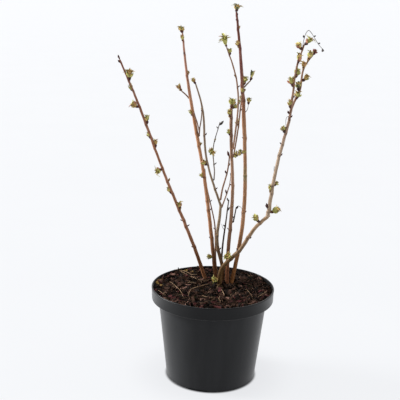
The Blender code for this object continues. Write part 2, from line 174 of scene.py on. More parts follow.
# Bark is orange brown when young, with pale fibres and dark furrows lower down. Its colours near the soil,
# above it and at the tip, then the heights over which the second goes over to the third.
barkTints = {
    "orange": ((0.190, 0.076, 0.021), (0.36, 0.185, 0.092), (0.165, 0.055, 0.046), (0.43, 0.56)),
    "red": ((0.100, 0.036, 0.010), (0.38, 0.178, 0.084), (0.36, 0.175, 0.120), (0.46, 0.56)),
    "dark": ((0.170, 0.066, 0.024), (0.29, 0.130, 0.070), (0.200, 0.080, 0.048), (0.40, 0.53)),
    "brown": ((0.125, 0.042, 0.015), (0.29, 0.160, 0.094), (0.24, 0.130, 0.080), (0.36, 0.50)),
    "sandy": ((0.092, 0.046, 0.012), (0.37, 0.238, 0.138), (0.34, 0.200, 0.120), (0.36, 0.46)),
    "tan": ((0.092, 0.046, 0.012), (0.37, 0.265, 0.180), (0.30, 0.190, 0.135), (0.42, 0.47)),
    "olive": ((0.085, 0.036, 0.008), (0.27, 0.195, 0.125), (0.22, 0.150, 0.100), (0.33, 0.42)),
    "twig": ((0.140, 0.065, 0.028), (0.24, 0.140, 0.092), (0.20, 0.120, 0.084), (0.36, 0.50)),
    "grey": ((0.150, 0.115, 0.090), (0.23, 0.190, 0.160), (0.11, 0.092, 0.082), (0.415, 0.44)),
    "dead": ((0.055, 0.030, 0.017), (0.065, 0.048, 0.037), (0.110, 0.096, 0.084), (0.33, 0.42)),
}
# Old greenish rind with a pale crackle: over which heights it comes and goes, then its two colours.
rinds = {"orange": ((0.350, 0.370), (0.370, 0.390), (0.15, 0.135, 0.060), (0.46, 0.42, 0.27))}

# How fine its grain is, round the limb and along it, then detail and roughness.
barkGrain = dict(
    fibres=((1400, 1400, 110), 4.0, 0.6), lanes=((330, 330, 15), 2.0), patches=((260, 260, 70), 3.0),
    freckles=((900, 900, 620), 1.0),
)
# Where its marks set in and are full, by height or on the grain, and their shares. The two with age, as they
# are on young bark and how much they gain.
barkMarks = dict(
    aged=(0.17, 0.42), paler=(0.19, 0.32), stem=(0.19, 0.30),
    lane=(0.50, 0.64), laneShare=0.45, gap=(0.36, 0.48), gapShare=0.35,
    patch=(0.52, 0.74), patchAge=(0.2, 0.3), crack=(0.33, 0.52), crackAge=(0.35, 0.5),
    freckle=(0.68, 0.76), freckleShare=0.5, knot=(0.36, 0.6), knotShare=0.5, knotTone=(0.035, 0.014, 0.012),
    rind=(0.30, 0.50), rindShare=0.85, crackle=(0.54, 0.62), crackleShare=0.65,
    wart=(0.66, 0.8), wartHeight=0.4, fibreHeight=0.7, patchHeight=0.5, relief=0.35,
)


def barkFinish(tint):
    low, mid, high, turn = barkTints[tint]
    m = barkMarks
    material, net, place = newFinish(f"bark_{tint}", {"Specular IOR Level": 0.16})
    grain = net.node("ShaderNodeAttribute", {"attribute_name": "grain"}).of("Vector")
    knot = net.node("ShaderNodeAttribute", {"attribute_name": "knot"}).of("Fac")
    height = net.split(place).of("Z")
    fibres, lanes, patches, freckles = (net.stretched(grain, *look) for look in barkGrain.values())
    age = 1 - height.between(*m["aged"])
    patchy, cracked = (least + more * age for least, more in (m["patchAge"], m["crackAge"]))
    furrow = shade(low, 0.22)
    pale = net.mix(height.between(*m["paler"]), shade(low, 1.5, 0.02), shade(mid, 0.93, 0.09))
    layers = [
        (height.between(*m["stem"]), mid),
        (height.between(*turn), high),
        (lanes.between(*m["lane"]) * m["laneShare"], pale),
        ((1 - lanes.between(*m["gap"])) * m["gapShare"], furrow),
        (patches.between(*m["patch"]) * patchy, pale),
        ((1 - fibres.between(*m["crack"])) * cracked, furrow),
        (freckles.between(*m["freckle"]) * m["freckleShare"], pale),
        (knot * patches.between(*m["knot"]) * m["knotShare"], m["knotTone"]),
    ]
    if tint in rinds:
        rise, fall, rind, crackle = rinds[tint]
        share = height.between(*rise) * (1 - height.between(*fall))
        layers.append((share * patches.between(*m["rind"]) * m["rindShare"], rind))
        layers.append((share * fibres.between(*m["crackle"]) * m["crackleShare"], crackle))
    warts = freckles.between(*m["wart"]) * m["wartHeight"]
    relief = fibres * m["fibreHeight"] + patches * m["patchHeight"] + warts
    return fed(material, net, {
        "Base Color": net.layered(low, layers),
        "Roughness": 0.52 + 0.3 * fibres + 0.08 * age,
        "Normal": bump(net, relief, m["relief"] * mm)})


# Leaves, scales and buds: plain base colours, each with a slight unevenness.
leafColors = {
    "green": ((0.170, 0.165, 0.034), (0.500, 0.465, 0.145)),
    "ochre": ((0.240, 0.145, 0.038), (0.590, 0.415, 0.150)),
    "pink": ((0.230, 0.080, 0.045), (0.460, 0.220, 0.130)),
    "red": ((0.110, 0.030, 0.026), (0.270, 0.085, 0.066)),
    "dusky": ((0.070, 0.078, 0.034), (0.170, 0.180, 0.085)),
    "scale": ((0.028, 0.007, 0.007), (0.090, 0.026, 0.020)),
    "husk": ((0.200, 0.110, 0.040), (0.380, 0.240, 0.095)),
    "dried": ((0.022, 0.017, 0.014), (0.075, 0.058, 0.048)),
}
leafMarks = dict(
    cloudGrain=(190, 2.0), speckGrain=(1500, 2.0), cloud=(0.34, 0.66), speck=(0.6, 0.8),
    speckShare=0.3, speckShade=0.45,
)


def leafFinish(kind):
    m = leafMarks
    deep, pale = leafColors[kind]
    material, net, place = newFinish(f"bud_{kind}", {"Specular IOR Level": 0.25})
    cloud = net.noise(place, *m["cloudGrain"])
    speckle = net.noise(place, *m["speckGrain"])
    specks = speckle.between(*m["speck"]) * m["speckShare"]
    layers = [(cloud.between(*m["cloud"]), pale), (specks, shade(deep, m["speckShade"]))]
    return fed(material, net, {
        "Base Color": net.layered(deep, layers),
        "Roughness": 0.42 + 0.25 * speckle,
        "Normal": bump(net, speckle, 0.12 * mm)})


# Bark chips, peat and moss, by kind: two colours and how fine the grain is.
soilColors = {
    "peat": ((0.0018, 0.0011, 0.0008), (0.010, 0.0052, 0.0034), 900),
    "brown": ((0.0075, 0.0036, 0.0024), (0.050, 0.024, 0.015), 700),
    "russet": ((0.018, 0.006, 0.006), (0.085, 0.024, 0.023), 700),
    "tan": ((0.055, 0.028, 0.021), (0.195, 0.108, 0.082), 800),
    "ochre": ((0.045, 0.026, 0.008), (0.190, 0.120, 0.035), 900),
    "black": ((0.0022, 0.0015, 0.0013), (0.013, 0.0075, 0.0055), 800),
    "moss": ((0.014, 0.020, 0.006), (0.055, 0.065, 0.016), 1300),
    "fibre": ((0.060, 0.036, 0.021), (0.180, 0.115, 0.070), 900),
    "root": ((0.130, 0.078, 0.042), (0.290, 0.195, 0.120), 800),
    "twig": ((0.006, 0.004, 0.003), (0.035, 0.022, 0.016), 900),
}
soilMarks = dict(cloudGrain=(95, 2.0), detail=4.0, rough=0.65, cloud=0.55, grain=0.45, pale=(0.36, 0.64))


def soilFinish(kind):
    m = soilMarks
    deep, pale, fineness = soilColors[kind]
    material, net, place = newFinish(f"soil_{kind}", {"Specular IOR Level": 0.08})
    cloud = net.noise(place, *m["cloudGrain"])
    grain = net.noise(place, fineness, m["detail"], m["rough"])
    blend = (cloud * m["cloud"] + grain * m["grain"]).between(*m["pale"])
    return fed(material, net, {
        "Base Color": net.mix(blend, deep, pale),
        "Roughness": 0.72 + 0.25 * grain,
        "Normal": bump(net, grain, 0.45 * mm)})


# The pot's black plastic: its tones (the collar's is painted shade), how fine each pattern is, then where
# that sets in and is full.
plastic = dict(
    deep=(0.0070, 0.0076, 0.0086), pale=(0.0108, 0.0115, 0.0128), collar=(0.0012, 0.0014, 0.0018),
    dust=(0.07, 0.065, 0.06), scuff=(0.06, 0.06, 0.063),
    flowGrain=((1, 1, 0.12), 42, 4.0), scuffGrain=((0.5, 0.5, 6.0), 210, 3.0),
    peelGrain=(1900, 2.0), dustGrain=(260, 5.0, 0.7),
    flowRise=(0.3, 0.7), collarShadeRise=(0.1485, 0.1495), dustRise=(0.56, 0.78), footRise=(0.0, 0.03),
    scuffRise=(0.68, 0.75), scuffWear=(0.64, 0.74),
    collarShadeShare=0.7, dustLeast=0.10, dustFoot=0.2, dustShare=0.5, scuffShare=0.10,
)


def plasticFinish():
    p = plastic
    fixed = {"Specular IOR Level": 0.17, "Sheen Weight": 0.22, "Sheen Roughness": 0.35}
    material, net, place = newFinish("black_plastic", fixed)
    flow, scuffs = (net.noise(net.vector("MULTIPLY", place, way), *grain)
                    for way, *grain in (p["flowGrain"], p["scuffGrain"]))
    peel = net.noise(place, *p["peelGrain"])
    dust = net.noise(place, *p["dustGrain"])
    height = net.split(place).of("Z")
    low = 1 - height.between(*p["footRise"])
    dusty = dust.between(*p["dustRise"]) * (p["dustLeast"] + low * p["dustFoot"])
    worn = scuffs.between(*p["scuffWear"])
    layers = [
        (flow.between(*p["flowRise"]), p["pale"]),
        (height.between(*p["collarShadeRise"]) * p["collarShadeShare"], p["collar"]),      # painted shade: the collar is darkened to its dimmer tone
        (dusty * p["dustShare"], p["dust"]),
        (scuffs.between(*p["scuffRise"]) * p["scuffShare"], p["scuff"]),
    ]
    return fed(material, net, {
        "Base Color": net.layered(p["deep"], layers),
        "Roughness": 0.34 + 0.06 * flow + dusty * 0.4 + worn * 0.10,
        "Normal": bump(net, peel * 0.5 + flow * 0.5, 0.10 * mm, 0.6)})


# The floor's own two tones. Then its glow: two tones in the open, then painted shadow, a dimmer one near the
# pot and a nearly black one below it, with the radii over which these end.
floorGlowAndShadow = dict(
    floor=((0.053, 0.054, 0.056), (0.057, 0.058, 0.060)),
    open=((0.812, 0.824, 0.846), (0.826, 0.837, 0.858)),
    near=(0.755, 0.765, 0.787), nearShadowEnd=(0.08, 0.17), under=(0.004, 0.004, 0.005), underEnd=(0.0795, 0.087),
)


def paleFloorFinish():
    g = floorGlowAndShadow
    fixed = {"Roughness": 0.9, "Specular IOR Level": 0.1, "Emission Strength": 1.0}
    material, net, place = newFinish("pale_floor", fixed)
    cloud = net.noise(place, 3, 2.0)
    away = net.node("ShaderNodeVectorMath", {"operation": "LENGTH"}, {0: place}).of("Value")
    # Painted shadow: the glow is dimmed round the pot and nearly black below its foot.
    glowAndShadow = net.mix(away.between(*g["nearShadowEnd"]), g["near"], net.mix(cloud, *g["open"]))
    glowAndShadow = net.mix(away.between(*g["underEnd"]), g["under"], glowAndShadow)
    return fed(material, net, {"Base Color": net.mix(cloud, *g["floor"]), "Emission Color": glowAndShadow})


# Plain mesh work

def asPiece(name, mesh, material=None):
    obj = bpy.data.objects.new(name, mesh)
    bpy.context.scene.collection.objects.link(obj)
    if material:
        mesh.materials.clear()
        mesh.materials.append(material)
    return obj


def meshFrom(name, points, faces=(), edges=(), **attributes):
    mesh = bpy.data.meshes.new(name)
    mesh.from_pydata([tuple(p) for p in points], list(edges), list(faces))
    for key, values in attributes.items():
        kind = "FLOAT_VECTOR" if np.ndim(values[0]) else "FLOAT"
        layer = mesh.attributes.new(key, kind, "POINT")
        layer.data.foreach_set("vector" if kind == "FLOAT_VECTOR" else "value", np.ravel(values))
    return mesh


def meshOf(name, build):
    mesh = bpy.data.meshes.new(name)
    build.to_mesh(mesh)
    build.free()
    return mesh


def polar(radius, angle, height):
    return Vector((radius * math.cos(angle), radius * math.sin(angle), height))


def clamped(value):
    return min(1.0, max(0.0, value))


# Faces between rings of points, each ring with the same count of them.
def bandFaces(rings, sides, first=0):
    faces = []
    for i in range(rings - 1):
        for k in range(sides):
            a, b = first + i * sides + k, first + i * sides + (k + 1) % sides
            faces.append((a, b, b + sides, a + sides))
    return faces


# The same with a point before the first ring and one after the last, which close the shape.
def shellFaces(rings, sides):
    last = rings * sides + 1
    faces = [(0, 1 + (k + 1) % sides, 1 + k) for k in range(sides)]
    faces += bandFaces(rings, sides, 1)
    return faces + [(last, last - sides + k, last - sides + (k + 1) % sides) for k in range(sides)]


def merged(parts):
    points, faces = [], []
    for partPoints, partFaces in parts:
        faces += [tuple(len(points) + k for k in face) for face in partFaces]
        points += partPoints
    return points, faces


# Evaluates an object and hands back its shape as a plain mesh; the object goes.
def settled(obj):
    bpy.context.view_layer.update()
    seen = obj.evaluated_get(bpy.context.evaluated_depsgraph_get())
    mesh = bpy.data.meshes.new_from_object(seen)
    bpy.data.objects.remove(obj)
    return mesh


def throughNodes(name, mesh, group, values):
    obj = asPiece(name, mesh)
    modifier = obj.modifiers.new("nodes", "NODES")
    modifier.node_group = group
    for item in group.interface.items_tree:
        if item.in_out == "INPUT" and item.name in values:
            modifier[item.identifier] = values[item.name]
    return settled(obj)


def joined(name, meshes, material):
    build = bmesh.new()
    for mesh in meshes:
        build.from_mesh(mesh)
        bpy.data.meshes.remove(mesh)
    mesh = meshOf(name, build)
    mesh.shade_smooth()
    for face in mesh.polygons:
        face.material_index = 0
    return asPiece(name, mesh, material)


def placed(piece, slot, *nodes):
    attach(piece, "root")
    if nodes:
        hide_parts(*nodes)
    count = sum(len(p.vertices) - 2 for p in piece.data.polygons)
    print(f"  {piece.name}: {count} triangles")


def newGroup(name, inputs):
    tree = bpy.data.node_groups.new(name, "GeometryNodeTree")
    for key, kind in {"Geometry": "Geometry", **inputs}.items():
        tree.interface.new_socket(key, in_out="INPUT", socket_type=f"NodeSocket{kind}")
    tree.interface.new_socket("Geometry", in_out="OUTPUT", socket_type="NodeSocketGeometry")
    net = Net(tree)
    return tree, net, net.node("NodeGroupInput")


def endGroup(net, shape, material):
    whole = net.node("GeometryNodeRealizeInstances", {}, {"Geometry": shape})
    painted = net.node("GeometryNodeSetMaterial", {}, {"Geometry": whole, "Material": material})
    net.node("NodeGroupOutput", {}, {0: painted})


def named(net, key, kind="FLOAT"):
    return net.node("GeometryNodeInputNamedAttribute", {"data_type": kind}, {"Name": key})


def stored(net, shape, key, value, kind="FLOAT"):
    values = {"Geometry": shape, "Name": key, "Value": value}
    return net.node("GeometryNodeStoreNamedAttribute", {"data_type": kind, "domain": "POINT"}, values)


def dealt(net, least, most, seed, kind="FLOAT"):      # a random value for each copy
    values = {"Min": least, "Max": most, "Seed": seed}
    return net.node("FunctionNodeRandomValue", {"data_type": kind}, values)


# Bark: a line of points that know their thickness becomes a ribbed, slightly uneven skin.
# The skin keeps a "grain" for the material: round the limb in x and y, along it in z.
def barkGroup():
    inputs = {"Step": "Float", "Sides": "Int", "Ribs": "Float", "Waver": "Float", "Offset": "Float",
              "Finish": "Material"}
    tree, net, given = newGroup("limb_bark", inputs)
    line = net.node("GeometryNodeMeshToCurve", {}, {"Mesh": given})
    line = net.node("GeometryNodeCurveSplineType", {"spline_type": "CATMULL_ROM"}, {"Curve": line})
    values = {"Curve": line, "Length": given.of("Step")}
    line = net.node("GeometryNodeResampleCurve", {"mode": "LENGTH"}, values)
    line = stored(net, line, "along", net.node("GeometryNodeSplineParameter").of("Length"))
    values = {"Resolution": given.of("Sides"), "Radius": 1.0}
    ring = net.node("GeometryNodeCurvePrimitiveCircle", {}, values)
    ring = stored(net, ring, "girth", net.node("GeometryNodeInputPosition"), "FLOAT_VECTOR")
    thick = named(net, "thick")
    tube = {"Curve": line, "Profile Curve": ring, "Scale": thick, "Fill Caps": True}
    skin = net.node("GeometryNodeCurveToMesh", {}, tube)
    around = net.scaled(named(net, "girth", "FLOAT_VECTOR"), thick)
    along = net.node("ShaderNodeCombineXYZ", {}, {"Z": named(net, "along") + given.of("Offset")})
    skin = stored(net, skin, "grain", net.vector("ADD", around, along), "FLOAT_VECTOR")
    grain = named(net, "grain", "FLOAT_VECTOR")
    ribs = net.stretched(grain, (900, 900, 75), 2.0) - 0.5
    waver = net.stretched(grain, (120, 120, 90), 1.0) - 0.5
    relief = (ribs * given.of("Ribs") + waver * given.of("Waver")) * thick
    push = net.scaled(net.node("GeometryNodeInputNormal"), relief)
    skin = net.node("GeometryNodeSetPosition", {}, {"Geometry": skin, "Offset": push})
    endGroup(net, skin, given.of("Finish"))
    return tree


# Copies of one shape, each at a point that knows its turn and size.
def copiesGroup():
    tree, net, given = newGroup("copies", {"Shape": "Object", "Finish": "Material"})
    shape = net.node("GeometryNodeObjectInfo", {}, {"Object": given.of("Shape")}).of("Geometry")
    turn, size = (named(net, key, "FLOAT_VECTOR") for key in ("turn", "size"))
    turn = net.node("FunctionNodeEulerToRotation", {}, {"Euler": turn})
    values = {"Points": given, "Instance": shape, "Rotation": turn, "Scale": size}
    endGroup(net, net.node("GeometryNodeInstanceOnPoints", {}, values), given.of("Finish"))
    return tree


# Loose things strewn on a surface, lying nearly flat on it and turned at random.
def strewGroup():
    inputs = {"Shapes": "Collection", "Seed": "Int", "Where": "String", "Finish": "Material"}
    inputs.update({key: "Float" for key in ("Density", "Least", "Most", "Tilt", "Lift")})
    tree, net, given = newGroup("strewn", inputs)
    seed = given.of("Seed")
    density = given.of("Density") * named(net, given.of("Where"))
    spread = {"Mesh": given, "Density": density, "Seed": seed}
    points = net.node("GeometryNodeDistributePointsOnFaces", {"distribute_method": "RANDOM"}, spread)
    angles = net.split(dealt(net, (0, 0, 0), (1, 1, 1), seed, "FLOAT_VECTOR"))
    euler = {axis: (angles.of(axis) - 0.5) * given.of("Tilt") for axis in "XY"}
    euler["Z"] = angles.of("Z") * math.tau
    euler = net.node("ShaderNodeCombineXYZ", {}, euler)
    own = net.node("FunctionNodeEulerToRotation", {}, {"Euler": euler})
    turns = {"Rotation": points.of("Rotation"), "Rotate By": own}
    turn = net.node("FunctionNodeRotateRotation", {"rotation_space": "LOCAL"}, turns)
    size = dealt(net, given.of("Least"), given.of("Most"), seed + 1)
    shapes = {"Collection": given.of("Shapes"), "Separate Children": True, "Reset Children": True}
    shapes = net.node("GeometryNodeCollectionInfo", {}, shapes)
    values = {"Points": points, "Instance": shapes, "Pick Instance": True, "Rotation": turn, "Scale": size}
    copies = net.node("GeometryNodeInstanceOnPoints", {}, values)
    lift = net.node("ShaderNodeCombineXYZ", {}, {"Z": dealt(net, 0.0, given.of("Lift"), seed + 2)})
    values = {"Instances": copies, "Translation": lift, "Local Space": False}
    copies = net.node("GeometryNodeTranslateInstances", {}, values)
    endGroup(net, copies, given.of("Finish"))
    return tree


bark = barkGroup()
copies = copiesGroup()
strewn = strewGroup()
print("node groups ready")


# Skins of bark: the step between rings, their corners, then ribs and waves, as shares of the radius.
skins = {
    "limb": (1.5 * mm, 16, 0.16, 0.22),
    "sprig": (0.8 * mm, 8, 0.2, 0.3),
    "root": (1.2 * mm, 6, 0.3, 0.5),
    "twig": (0.8 * mm, 6, 0.3, 0.5),
}


def skinned(name, points, radii, knots, skin, offset, finish):
    edges = [(k, k + 1) for k in range(len(points) - 1)]
    line = meshFrom(name, points, edges=edges, thick=radii, knot=knots)
    values = dict(zip(("Step", "Sides", "Ribs", "Waver"), skins[skin]))
    return throughNodes(name, line, bark, {**values, "Offset": float(offset), "Finish": finish})


# Limbs: which tint each has, and what it grows from. Their axes and thickness are read off the frame.
limbPlan = {
    "stem_far_left": ("dark", None),
    "stem_left": ("red", None),
    "stem_left_thin": ("twig", None),
    "stem_middle": ("olive", None),
    "stem_centre": ("brown", None),
    "stem_tall": ("orange", None),
    "stem_dead_thin": ("dead", None),
    "stem_right_foot": ("sandy", None),
    "stem_right_rise": ("tan", "stem_right_foot"),
    "bough_right_outer": ("brown", "stem_right_rise"),
    "bough_right_inner": ("brown", "bough_right_outer"),
    "bough_middle_left": ("olive", "stem_middle"),
    "bough_middle": ("twig", "bough_middle_left"),
    "bough_middle_right": ("twig", "stem_middle"),
    "shoot_grey": ("grey", "bough_middle_left"),
    "shoot_long": ("brown", "stem_centre"),
    "shoot_short": ("brown", "stem_centre"),
    "stub_dead": ("dead", "stem_centre"),
    "fork_foot": ("twig", "stem_left"),
    "fork_left": ("twig", "fork_foot"),
    "fork_right": ("twig", "fork_foot"),
    "twig_left": ("twig", "stem_left"),
    "twig_tall": ("olive", "stem_tall"),
    "twig_dead_arch": ("dead", "bough_right_inner"),
}
limbShape = dict(
    corners=8,               # of each ring of the CAD limb
    spacing=3 * mm,          # between points of the line through them
    sink=9 * mm,             # how far a stem goes on below the soil
    footSwell=(1.12, 1.06),      # thicker at its first two points
    branchSwell=(1.18, 1.12),    # the same where a limb leaves the one that carries it
    branchKnots=(0.6, 0.5),
    bend=0.16,               # sideways kink at a node, as a share of the radius there
    knotLength=1.8 * mm,
    knotSwell=0.10,
    stout=(0.40, 0.46, 0.28),    # living wood gets thicker between these heights, by this share
    stouter={"stem_right_foot": 0.18, "stem_right_rise": 0.30},
)
archShape = dict(name="twig_dead_arch", lean=Vector((1, 0, 0.5)), rise=3.2 * mm, reach=6 * mm, thin=0.68)
deadTints = ("dead", "grey")


# Walking from ring to ring of the CAD limb gives its axis and radii.
def ringsOf(name):
    build = bmesh.new()
    build.from_mesh(frame["nodes"][name].data)
    bmesh.ops.remove_doubles(build, verts=build.verts, dist=0.002 * mm)
    lean = archShape["lean"] if name == archShape["name"] else up
    ring = sorted(build.verts, key=lambda v: v.co.dot(lean))[:limbShape["corners"]]
    seen, centres, radii = set(), [], []
    while ring:
        seen.update(ring)
        centre = sum((v.co for v in ring), Vector()) / len(ring)
        centres.append(centre)
        radii.append(max((v.co - centre).length for v in ring))
        ring = {e.other_vert(v) for v in ring for e in v.link_edges} - seen
    build.free()
    return centres, radii


# A smooth line through points: each point on it, with the part that it is in and how far along that part.
def smoothLine(ends, counts):
    path = [ends[0] * 2 - ends[1], *ends, ends[-1] * 2 - ends[-2]]
    for i, count in enumerate(counts):
        a, b, c, d = path[i:i + 4]
        for k in range(count + (i == len(counts) - 1)):
            t = k / count
            curve = (2 * a - 5 * b + 4 * c - d) * t * t + (3 * b - a - 3 * c + d) * t ** 3
            yield 0.5 * (2 * b + (c - a) * t + curve), i, t


class Limb:
    def __init__(self, name):
        self.name = name
        self.tint, self.parent = limbPlan[name]
        centres, radii = ringsOf(name)
        lengths = [(b - a).length for a, b in zip(centres, centres[1:])]
        counts = [max(2, round(length / limbShape["spacing"])) for length in lengths]
        self.points, self.radii = [], []
        for point, i, t in smoothLine(centres, counts):
            self.points.append(point)
            self.radii.append(radii[i] + (radii[i + 1] - radii[i]) * t)
        self.knots = [0.0] * len(self.points)
        if self.tint not in deadTints:
            start, full, gain = limbShape["stout"]
            least = limbShape["stouter"].get(name, 0)
            gains = [max(least, gain * clamped((p.z - start) / (full - start))) for p in self.points]
            self.radii = [r * (1 + g) for r, g in zip(self.radii, gains)]

    def near(self, point):
        return min(range(len(self.points)), key=lambda i: (self.points[i] - point).length)

    def atHeight(self, height):
        return min(range(len(self.points)), key=lambda i: abs(self.points[i].z - height))

    def heading(self, i):
        return (self.points[min(i + 1, len(self.points) - 1)] - self.points[max(i - 1, 0)]).normalized()


# The dead twig is thinner than its solid and breaks over at its top.
def sharpenArch(limb):
    top = max(limb.points, key=lambda p: p.z).copy()
    for p in limb.points:
        p.z += archShape["rise"] * math.exp(-(p - top).length / archShape["reach"])
    limb.radii = [r * archShape["thin"] for r in limb.radii]


limbs = {name: Limb(name) for name in limbPlan}
sharpenArch(limbs[archShape["name"]])
print("limbs read:", len(limbs))


# Buds on the limbs. First the height: mm above the stand, or up to 1 a share of the limb's length. Then the
# side: 0 right, 90 back, 180 left, 270 front. Then degrees from upright, to the right, length and width in
# mm, style and colours. A row without a style is a spur with scales.
budPlan = {
    "stem_far_left": [
        (570, 200, -40, 6, 3, "tip", "scale"), (538, 320, 3, 21, 13, "open", "mixed"),
        (521, 190, -27, 13, 6.5, "slim", "green"), (461, 350, 0, 17, 8, "crown", "green"),
        (436, 185, -28, 14, 6.5, "crown", "green"), (419, 0, -4, 15, 8, "crown", "ochre"),
        (357, 10, 20, 6, 3.4, "tip", "husk"), (333, 185, -35, 15, 6.5, "crown", "ochre"),
        (302, 350, -8, 15, 9.5, "crown", "ochre"), (282, 185, -60, 5, 2.4), (271, 0, 50, 5, 2.6),
        (233, 200, -50, 4, 2.4)],
    "stem_left": [
        (604, 190, -10, 12, 5.5, "slim", "green"), (582, 250, -12, 5, 3.4),
        (543, 0, 8, 9, 3.6, "slim", "husk"), (472, 185, -26, 13, 6, "slim", "green"),
        (441, 300, 10, 4, 2.6), (418, 10, 22, 8, 4, "slim", "ochre"),
        (360, 185, -42, 10, 5.5, "slim", "green"), (317, 300, 30, 4, 2.6, "spur", "husk"),
        (300, 10, 45, 5, 2.6), (248, 190, -40, 4, 2.4)],
    "bough_middle_left": [
        (488, 200, -30, 4, 2.2), (444, 20, 30, 5, 2.4), (391, 190, -58, 12, 9, "crown", "ochre"),
        (345, 0, 40, 4, 2.4)],
    "bough_middle": [
        (372, 180, -20, 6, 2.8, "tip", "scale"), (385, 20, 20, 5, 2.6, "spur", "husk"),
        (402, 180, -12, 9, 3.6, "tip", "scale")],
    "bough_middle_right": [(334, 180, -10, 7, 3, "tip", "scale")],
    "shoot_grey": [
        (463, 30, 42, 9, 3.4, "tip", "dried"), (458, 180, -30, 4, 2.4, "spur", "dried"),
        (434, 20, 15, 7, 3.4, "slim", "dusky"), (390, 0, 40, 5, 2.4, "spur", "dried")],
    "stem_middle": [(258, 270, 0, 4, 2.6, "spur", "husk"), (230, 10, 30, 5, 2.6)],
    "stem_left_thin": [
        (312, 0, 30, 4, 2.2), (372, 180, -20, 5, 2.4, "tip", "scale"), (260, 180, -40, 3, 2)],
    "stem_centre": [
        (474, 200, -6, 15, 8, "crown", "ochre"), (442, 190, -16, 12, 6.5, "crown", "green"),
        (312, 280, 10, 4, 2.8, "spur", "husk"), (352, 190, -40, 4, 2.4), (270, 180, -40, 4, 2.4)],
    "stem_tall": [
        (651, 300, 10, 4, 3.6), (644, 200, -10, 4, 3.2), (628, 10, 14, 7, 3.2, "slim", "husk"),
        (596, 185, -14, 14, 7.5, "crown", "ochre"), (530, 345, 15, 17, 8.5, "crown", "ochre"),
        (518, 0, 24, 7, 3.4, "slim", "husk"), (503, 190, -14, 9, 5.5, "crown", "green"),
        (369, 270, 0, 3, 2.6, "spur", "husk"), (436, 200, -40, 3, 2.2), (300, 20, 40, 4, 2.4)],
    "shoot_long": [
        (587, 350, -4, 11, 7, "crown", "green"), (549, 190, -24, 6, 3, "slim", "husk"),
        (531, 0, 35, 4, 2.4), (502, 0, 2, 9, 5, "crown", "green"), (468, 10, 8, 8, 4, "slim", "green")],
    "shoot_short": [(486, 0, 30, 4, 2.2), (460, 180, -10, 11, 6, "crown", "ochre")],
    "stem_right_foot": [(266, 350, 50, 5, 2.6), (240, 180, -40, 4, 2.4)],
    "stem_right_rise": [
        (323, 190, -14, 9, 4.4, "tip", "scale"), (350, 190, -5, 16, 6, "crown", "green"),
        (364, 10, 48, 10, 6, "crown", "dusky"), (419, 0, 40, 5, 2.8), (440, 190, -40, 4, 2.4),
        (460, 200, -22, 12, 8, "crown", "dusky")],
    "bough_right_outer": [
        (581, 260, 16, 18, 8.5, "crown", "green"), (566, 250, 4, 15, 10, "open", "ochre"),
        (531, 190, -7, 15, 9.5, "crown", "dusky"), (519, 350, 10, 15, 10, "crown", "ochre"),
        (492, 185, -26, 6, 3.4, "tip", "scale"), (486, 0, 35, 5, 2.8)],
    "bough_right_inner": [
        (580, 290, 8, 17, 14, "fork", "ochre"), (556, 350, 18, 17, 8.5, "crown", "green"),
        (539, 190, -18, 17, 10.5, "crown", "mixed"), (504, 190, -7, 16, 7, "crown", "green"),
        (522, 0, 24, 5, 2.8)],
    "stem_dead_thin": [
        (270, 180, -30, 4, 2.6, "tip", "dried"), (299, 20, 24, 7, 3, "tip", "dried"),
        (319, 180, -20, 6, 2.8, "tip", "dried")],
    "stub_dead": [(309, 20, 30, 6, 3, "tip", "dried"), (290, 180, -30, 4, 2.6, "tip", "dried")],
    "fork_left": [(462, 180, -30, 3, 2.2)],
    "twig_dead_arch": [
        (0.16, 190, -20, 4, 3.6, "knob", "dried"), (0.62, 10, 60, 3, 2.4, "knob", "dried"),
        (0.78, 10, 80, 3, 3, "knob", "dried"), (0.99, 270, 180, 4, 4, "knob", "dried")],
}
# The masses of leaves at the CAD tufts: the limb each grows on, its style and its colours, then its length
# and width as shares of its solid's.
tuftPlan = {
    "tuft_tall": ("stem_tall", "open", "tall"),
    "tuft_shoot_long": ("shoot_long", "leafy", "fresh", 1, 0.88),
    "tuft_centre": ("stem_centre", "pair", "green"),
    "tuft_left": ("stem_left", "twin", "tall", 1, 1.3),
    "tuft_far_left": ("stem_far_left", "tip", "scale", 0.9, 0.65),
    "tuft_right_outer": ("bough_right_outer", "crown", "ruddy", 1, 1.15),
    "tuft_twig_left": ("twig_left", "slim", "ochre", 1, 1.4),
    "tuft_twig_tall": ("twig_tall", "slim", "dusky"),
    "tuft_middle_left": ("bough_middle_left", "crown", "pinkish"),
    "tuft_fork_right": ("fork_right", "crown", "ochre"),
    "tuft_shoot_short": ("shoot_short", "slim", "green"),
    "tuft_bend_left": ("stem_right_foot", "crown", "green", 0.9, 0.92),
    "tuft_bend_right": ("stem_right_rise", "crown", "green", 0.9, 0.92),
    "tuft_centre_side": ("stem_centre", "spray", "golden"),
    "tuft_grey_side": ("shoot_grey", "star", "green", 0.9, 0.8),
    "tuft_far_left_low": ("stem_far_left", "open", "fresh"),
    "tuft_far_left_high": ("stem_far_left", "crown", "ochre"),
    "tuft_left_foot": ("stem_left", "bunch", "green"),
    "tuft_front_foot": ("stem_right_foot", "bunch", "green"),
    "tuft_crossing": ("stem_right_foot", "bunch", "green"),
    "tuft_right_inner": ("bough_right_inner", "open", "fresh", 1, 1.1),
    "tuft_inner_low": ("bough_right_inner", "crown", "mixed"),
    "tuft_outer_low": ("bough_right_outer", "crown", "ochre"),
}
